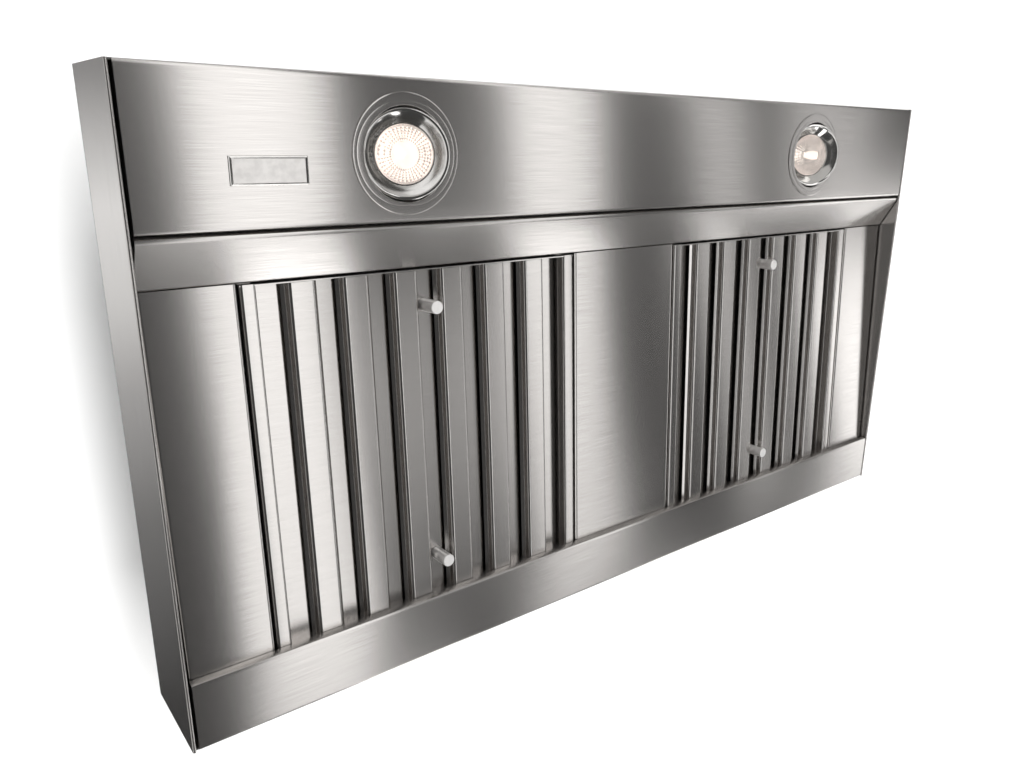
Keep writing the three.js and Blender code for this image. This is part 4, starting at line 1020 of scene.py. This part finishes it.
def floor_material():
    """Pale matt paint with a little glow for the eye; from below the eye goes through it."""
    material, tree, output = new_material("pale_floor")
    paint = add(tree, "ShaderNodeBsdfDiffuse", None, {"Color": srgb("ECEBE9")})
    path = add(tree, "ShaderNodeLightPath")
    glow = add(tree, "ShaderNodeEmission", {"Strength": path.outputs["Is Camera Ray"]},
               {"Color": srgb("868584")})
    lit = add(tree, "ShaderNodeAddShader", {0: paint.outputs[0], 1: glow.outputs[0]})
    clear = add(tree, "ShaderNodeBsdfTransparent")
    side = add(tree, "ShaderNodeNewGeometry")
    mix = add(tree, "ShaderNodeMixShader", {
        "Fac": side.outputs["Backfacing"], 1: lit.outputs[0], 2: clear.outputs[0]})
    tree.links.new(mix.outputs[0], output.inputs["Surface"])
    return material


def backdrop_material():
    """White paper behind the hood that keeps its shadow; from behind the eye goes through it."""
    material, tree, output = new_material("white_backdrop")
    paper = add(tree, "ShaderNodeBsdfDiffuse", None, {"Color": srgb("F4F4F4")})
    glow = add(tree, "ShaderNodeEmission", None, {"Color": WHITE, "Strength": BACKDROP_GLOW})
    lit = add(tree, "ShaderNodeAddShader", {0: paper.outputs[0], 1: glow.outputs[0]})
    clear = add(tree, "ShaderNodeBsdfTransparent")
    side = add(tree, "ShaderNodeNewGeometry")
    mix = add(tree, "ShaderNodeMixShader", {
        "Fac": side.outputs["Backfacing"], 1: lit.outputs[0], 2: clear.outputs[0]})
    tree.links.new(mix.outputs[0], output.inputs["Surface"])
    return material


def soft_sun(name, direction, power):
    """A broad light that metal does not mirror, so it only shades matt surfaces."""
    light = bpy.data.lights.new(name, "SUN")
    light.energy = power
    light.angle = SUN_SPREAD
    lamp = bpy.data.objects.new(name, light)
    SCENE.collection.objects.link(lamp)
    lamp.rotation_euler = Vector(direction).to_track_quat("-Z", "Y").to_euler()
    lamp.visible_glossy = False


def below(across, away, lift=0.0):
    """A point of the card plane where a flat face shows it, by its two slopes from the lens."""
    return (CAMERA_PLACE.x + across * MIRROR_REACH, CAMERA_PLACE.y + away * MIRROR_REACH,
            CARD_Z + lift)


# Strips of light that the flat faces mirror as upright bands: left and right edge at the near
# end, the same at the far end, where they begin and end, and how bright each end is.
STRIPS = (
    ("strip_a", 0.256, 0.435, 0.320, 0.485, -0.7, 1.2, 1.90, 1.30),
    ("strip_b", 0.665, 0.825, 0.820, 1.005, -0.7, 1.2, 2.00, 0.90),
    ("strip_c", 0.920, 1.060, 1.420, 1.540, -0.7, 1.2, 1.45, 0.20),
    ("strip_d", 1.360, 1.640, 1.360, 1.640, -0.7, 0.1, 0.70, 0.75),
    ("strip_e", 1.460, 2.100, 1.790, 2.300, 0.17, 1.2, 2.20, 1.20),
    ("soft_fill", 0.470, 0.720, 0.500, 0.760, 0.16, 0.5, 0.65, 0.45),
)
# Upright strips far behind, that the sloped strip of the pan mirrors: middle, width, brightness.
UPRIGHTS = (
    ("upright_a", 0.40, 0.38, 2.9),
    ("upright_b", 1.52, 0.46, 2.6),
    ("upright_c", 2.50, 0.22, 2.0),
    ("upright_d", 3.95, 0.60, 3.4),
)
UPRIGHT_Y = 1.8
CARD_FOOT = -0.94
CARD_HEAD = 0.1
# Dark felt round the strips: its left and right edge, its near and far edge, as slopes from the
# lens; behind and to the right of it the felt stands upright.
FELT_BELOW = (-1.6, 2.9, -0.95, 1.25)
FELT_BEHIND_Y = UPRIGHT_Y + 0.02
FELT_BEHIND_X = (-1.2, 5.2)
FELT_X = 5.2
FELT_NEAR = -3
# The card above the hood that the long side wall mirrors, darker towards the far end.
OVERHEAD_Z = 1.2
OVERHEAD_X = (-3.6, 0.3)
OVERHEAD_Y = (-1.3, 2.6)
OVERHEAD_FADE_Y = (-0.6, 1.2)
OVERHEAD_FADE = ((0.0, 0.15), (0.15, 0.39), (0.29, 1.17), (0.40, 0.98), (0.50, 0.58), (0.67, 0.24),
                 (0.95, 0.03))


def level_corners(left, right, near, far, z):
    """The corners of a level plane that faces up, or down if near and far change places."""
    return [(left, near, z), (right, near, z), (right, far, z), (left, far, z)]


def upright_corners(left, right, y):
    """The corners of an upright card that faces the hood."""
    return [(left, y, CARD_FOOT), (right, y, CARD_FOOT),
            (right, y, CARD_HEAD), (left, y, CARD_HEAD)]


def lights():
    """The world, soft suns that shade what is matt, and the sheets behind and below the hood."""
    world_light()
    square = (-STAGE_HALF, STAGE_HALF)
    floor = stage_plane("floor", level_corners(*square, *square, FLOOR_Z), floor_material(),
                        card=False)
    floor.visible_shadow = False
    facing_down = level_corners(*square, *square[::-1], BACKDROP_Z)
    backdrop = stage_plane("backdrop", facing_down, backdrop_material())
    backdrop.visible_camera = True
    backdrop.visible_glossy = False
    for tilt in KEY_TILTS:
        soft_sun("key_light", (KEY_LEAN, tilt, 1), KEY_POWER / len(KEY_TILTS))
    soft_sun("top_light", TOP_DIRECTION, TOP_POWER)


def cards():
    """Lit strips and dark felt, seen only by what mirrors them."""
    left, right, near, far = FELT_BELOW
    stage_plane("felt_below", [below(left, near), below(right, near), below(right, far),
                               below(left, far)], card_material("grey_felt", 0.07))
    for name, a, b, c, d, start, end, near, far in STRIPS:
        corners = [below(across, away, CARD_LIFT)
                   for across, away in ((a, start), (b, start), (d, end), (c, end))]
        stage_plane(name, corners, fading_card(name, [(0.0, grey(near)), (1.0, grey(far))],
                                               corners[0][1], corners[2][1]))
    stage_plane("felt_behind", upright_corners(*FELT_BEHIND_X, FELT_BEHIND_Y),
                card_material("grey_felt_behind", 0.06))
    for name, middle, width, strength in UPRIGHTS:
        stage_plane(name, upright_corners(middle - width / 2, middle + width / 2, UPRIGHT_Y),
                    card_material(name, strength))
    stage_plane("felt_right",
                [(FELT_X, FELT_NEAR, CARD_FOOT), (FELT_X, FELT_BEHIND_Y, CARD_FOOT),
                 (FELT_X, FELT_BEHIND_Y, OVERHEAD_Z), (FELT_X, FELT_NEAR, OVERHEAD_Z)],
                card_material("grey_felt_right", 0.04))
    overhead = fading_card("overhead_card", [(share, grey(tone)) for share, tone in OVERHEAD_FADE],
                           *OVERHEAD_FADE_Y)
    stage_plane("overhead", level_corners(*OVERHEAD_X, *OVERHEAD_Y, OVERHEAD_Z), overhead)


lights()
cards()
SCENE.view_settings.view_transform = "Standard"
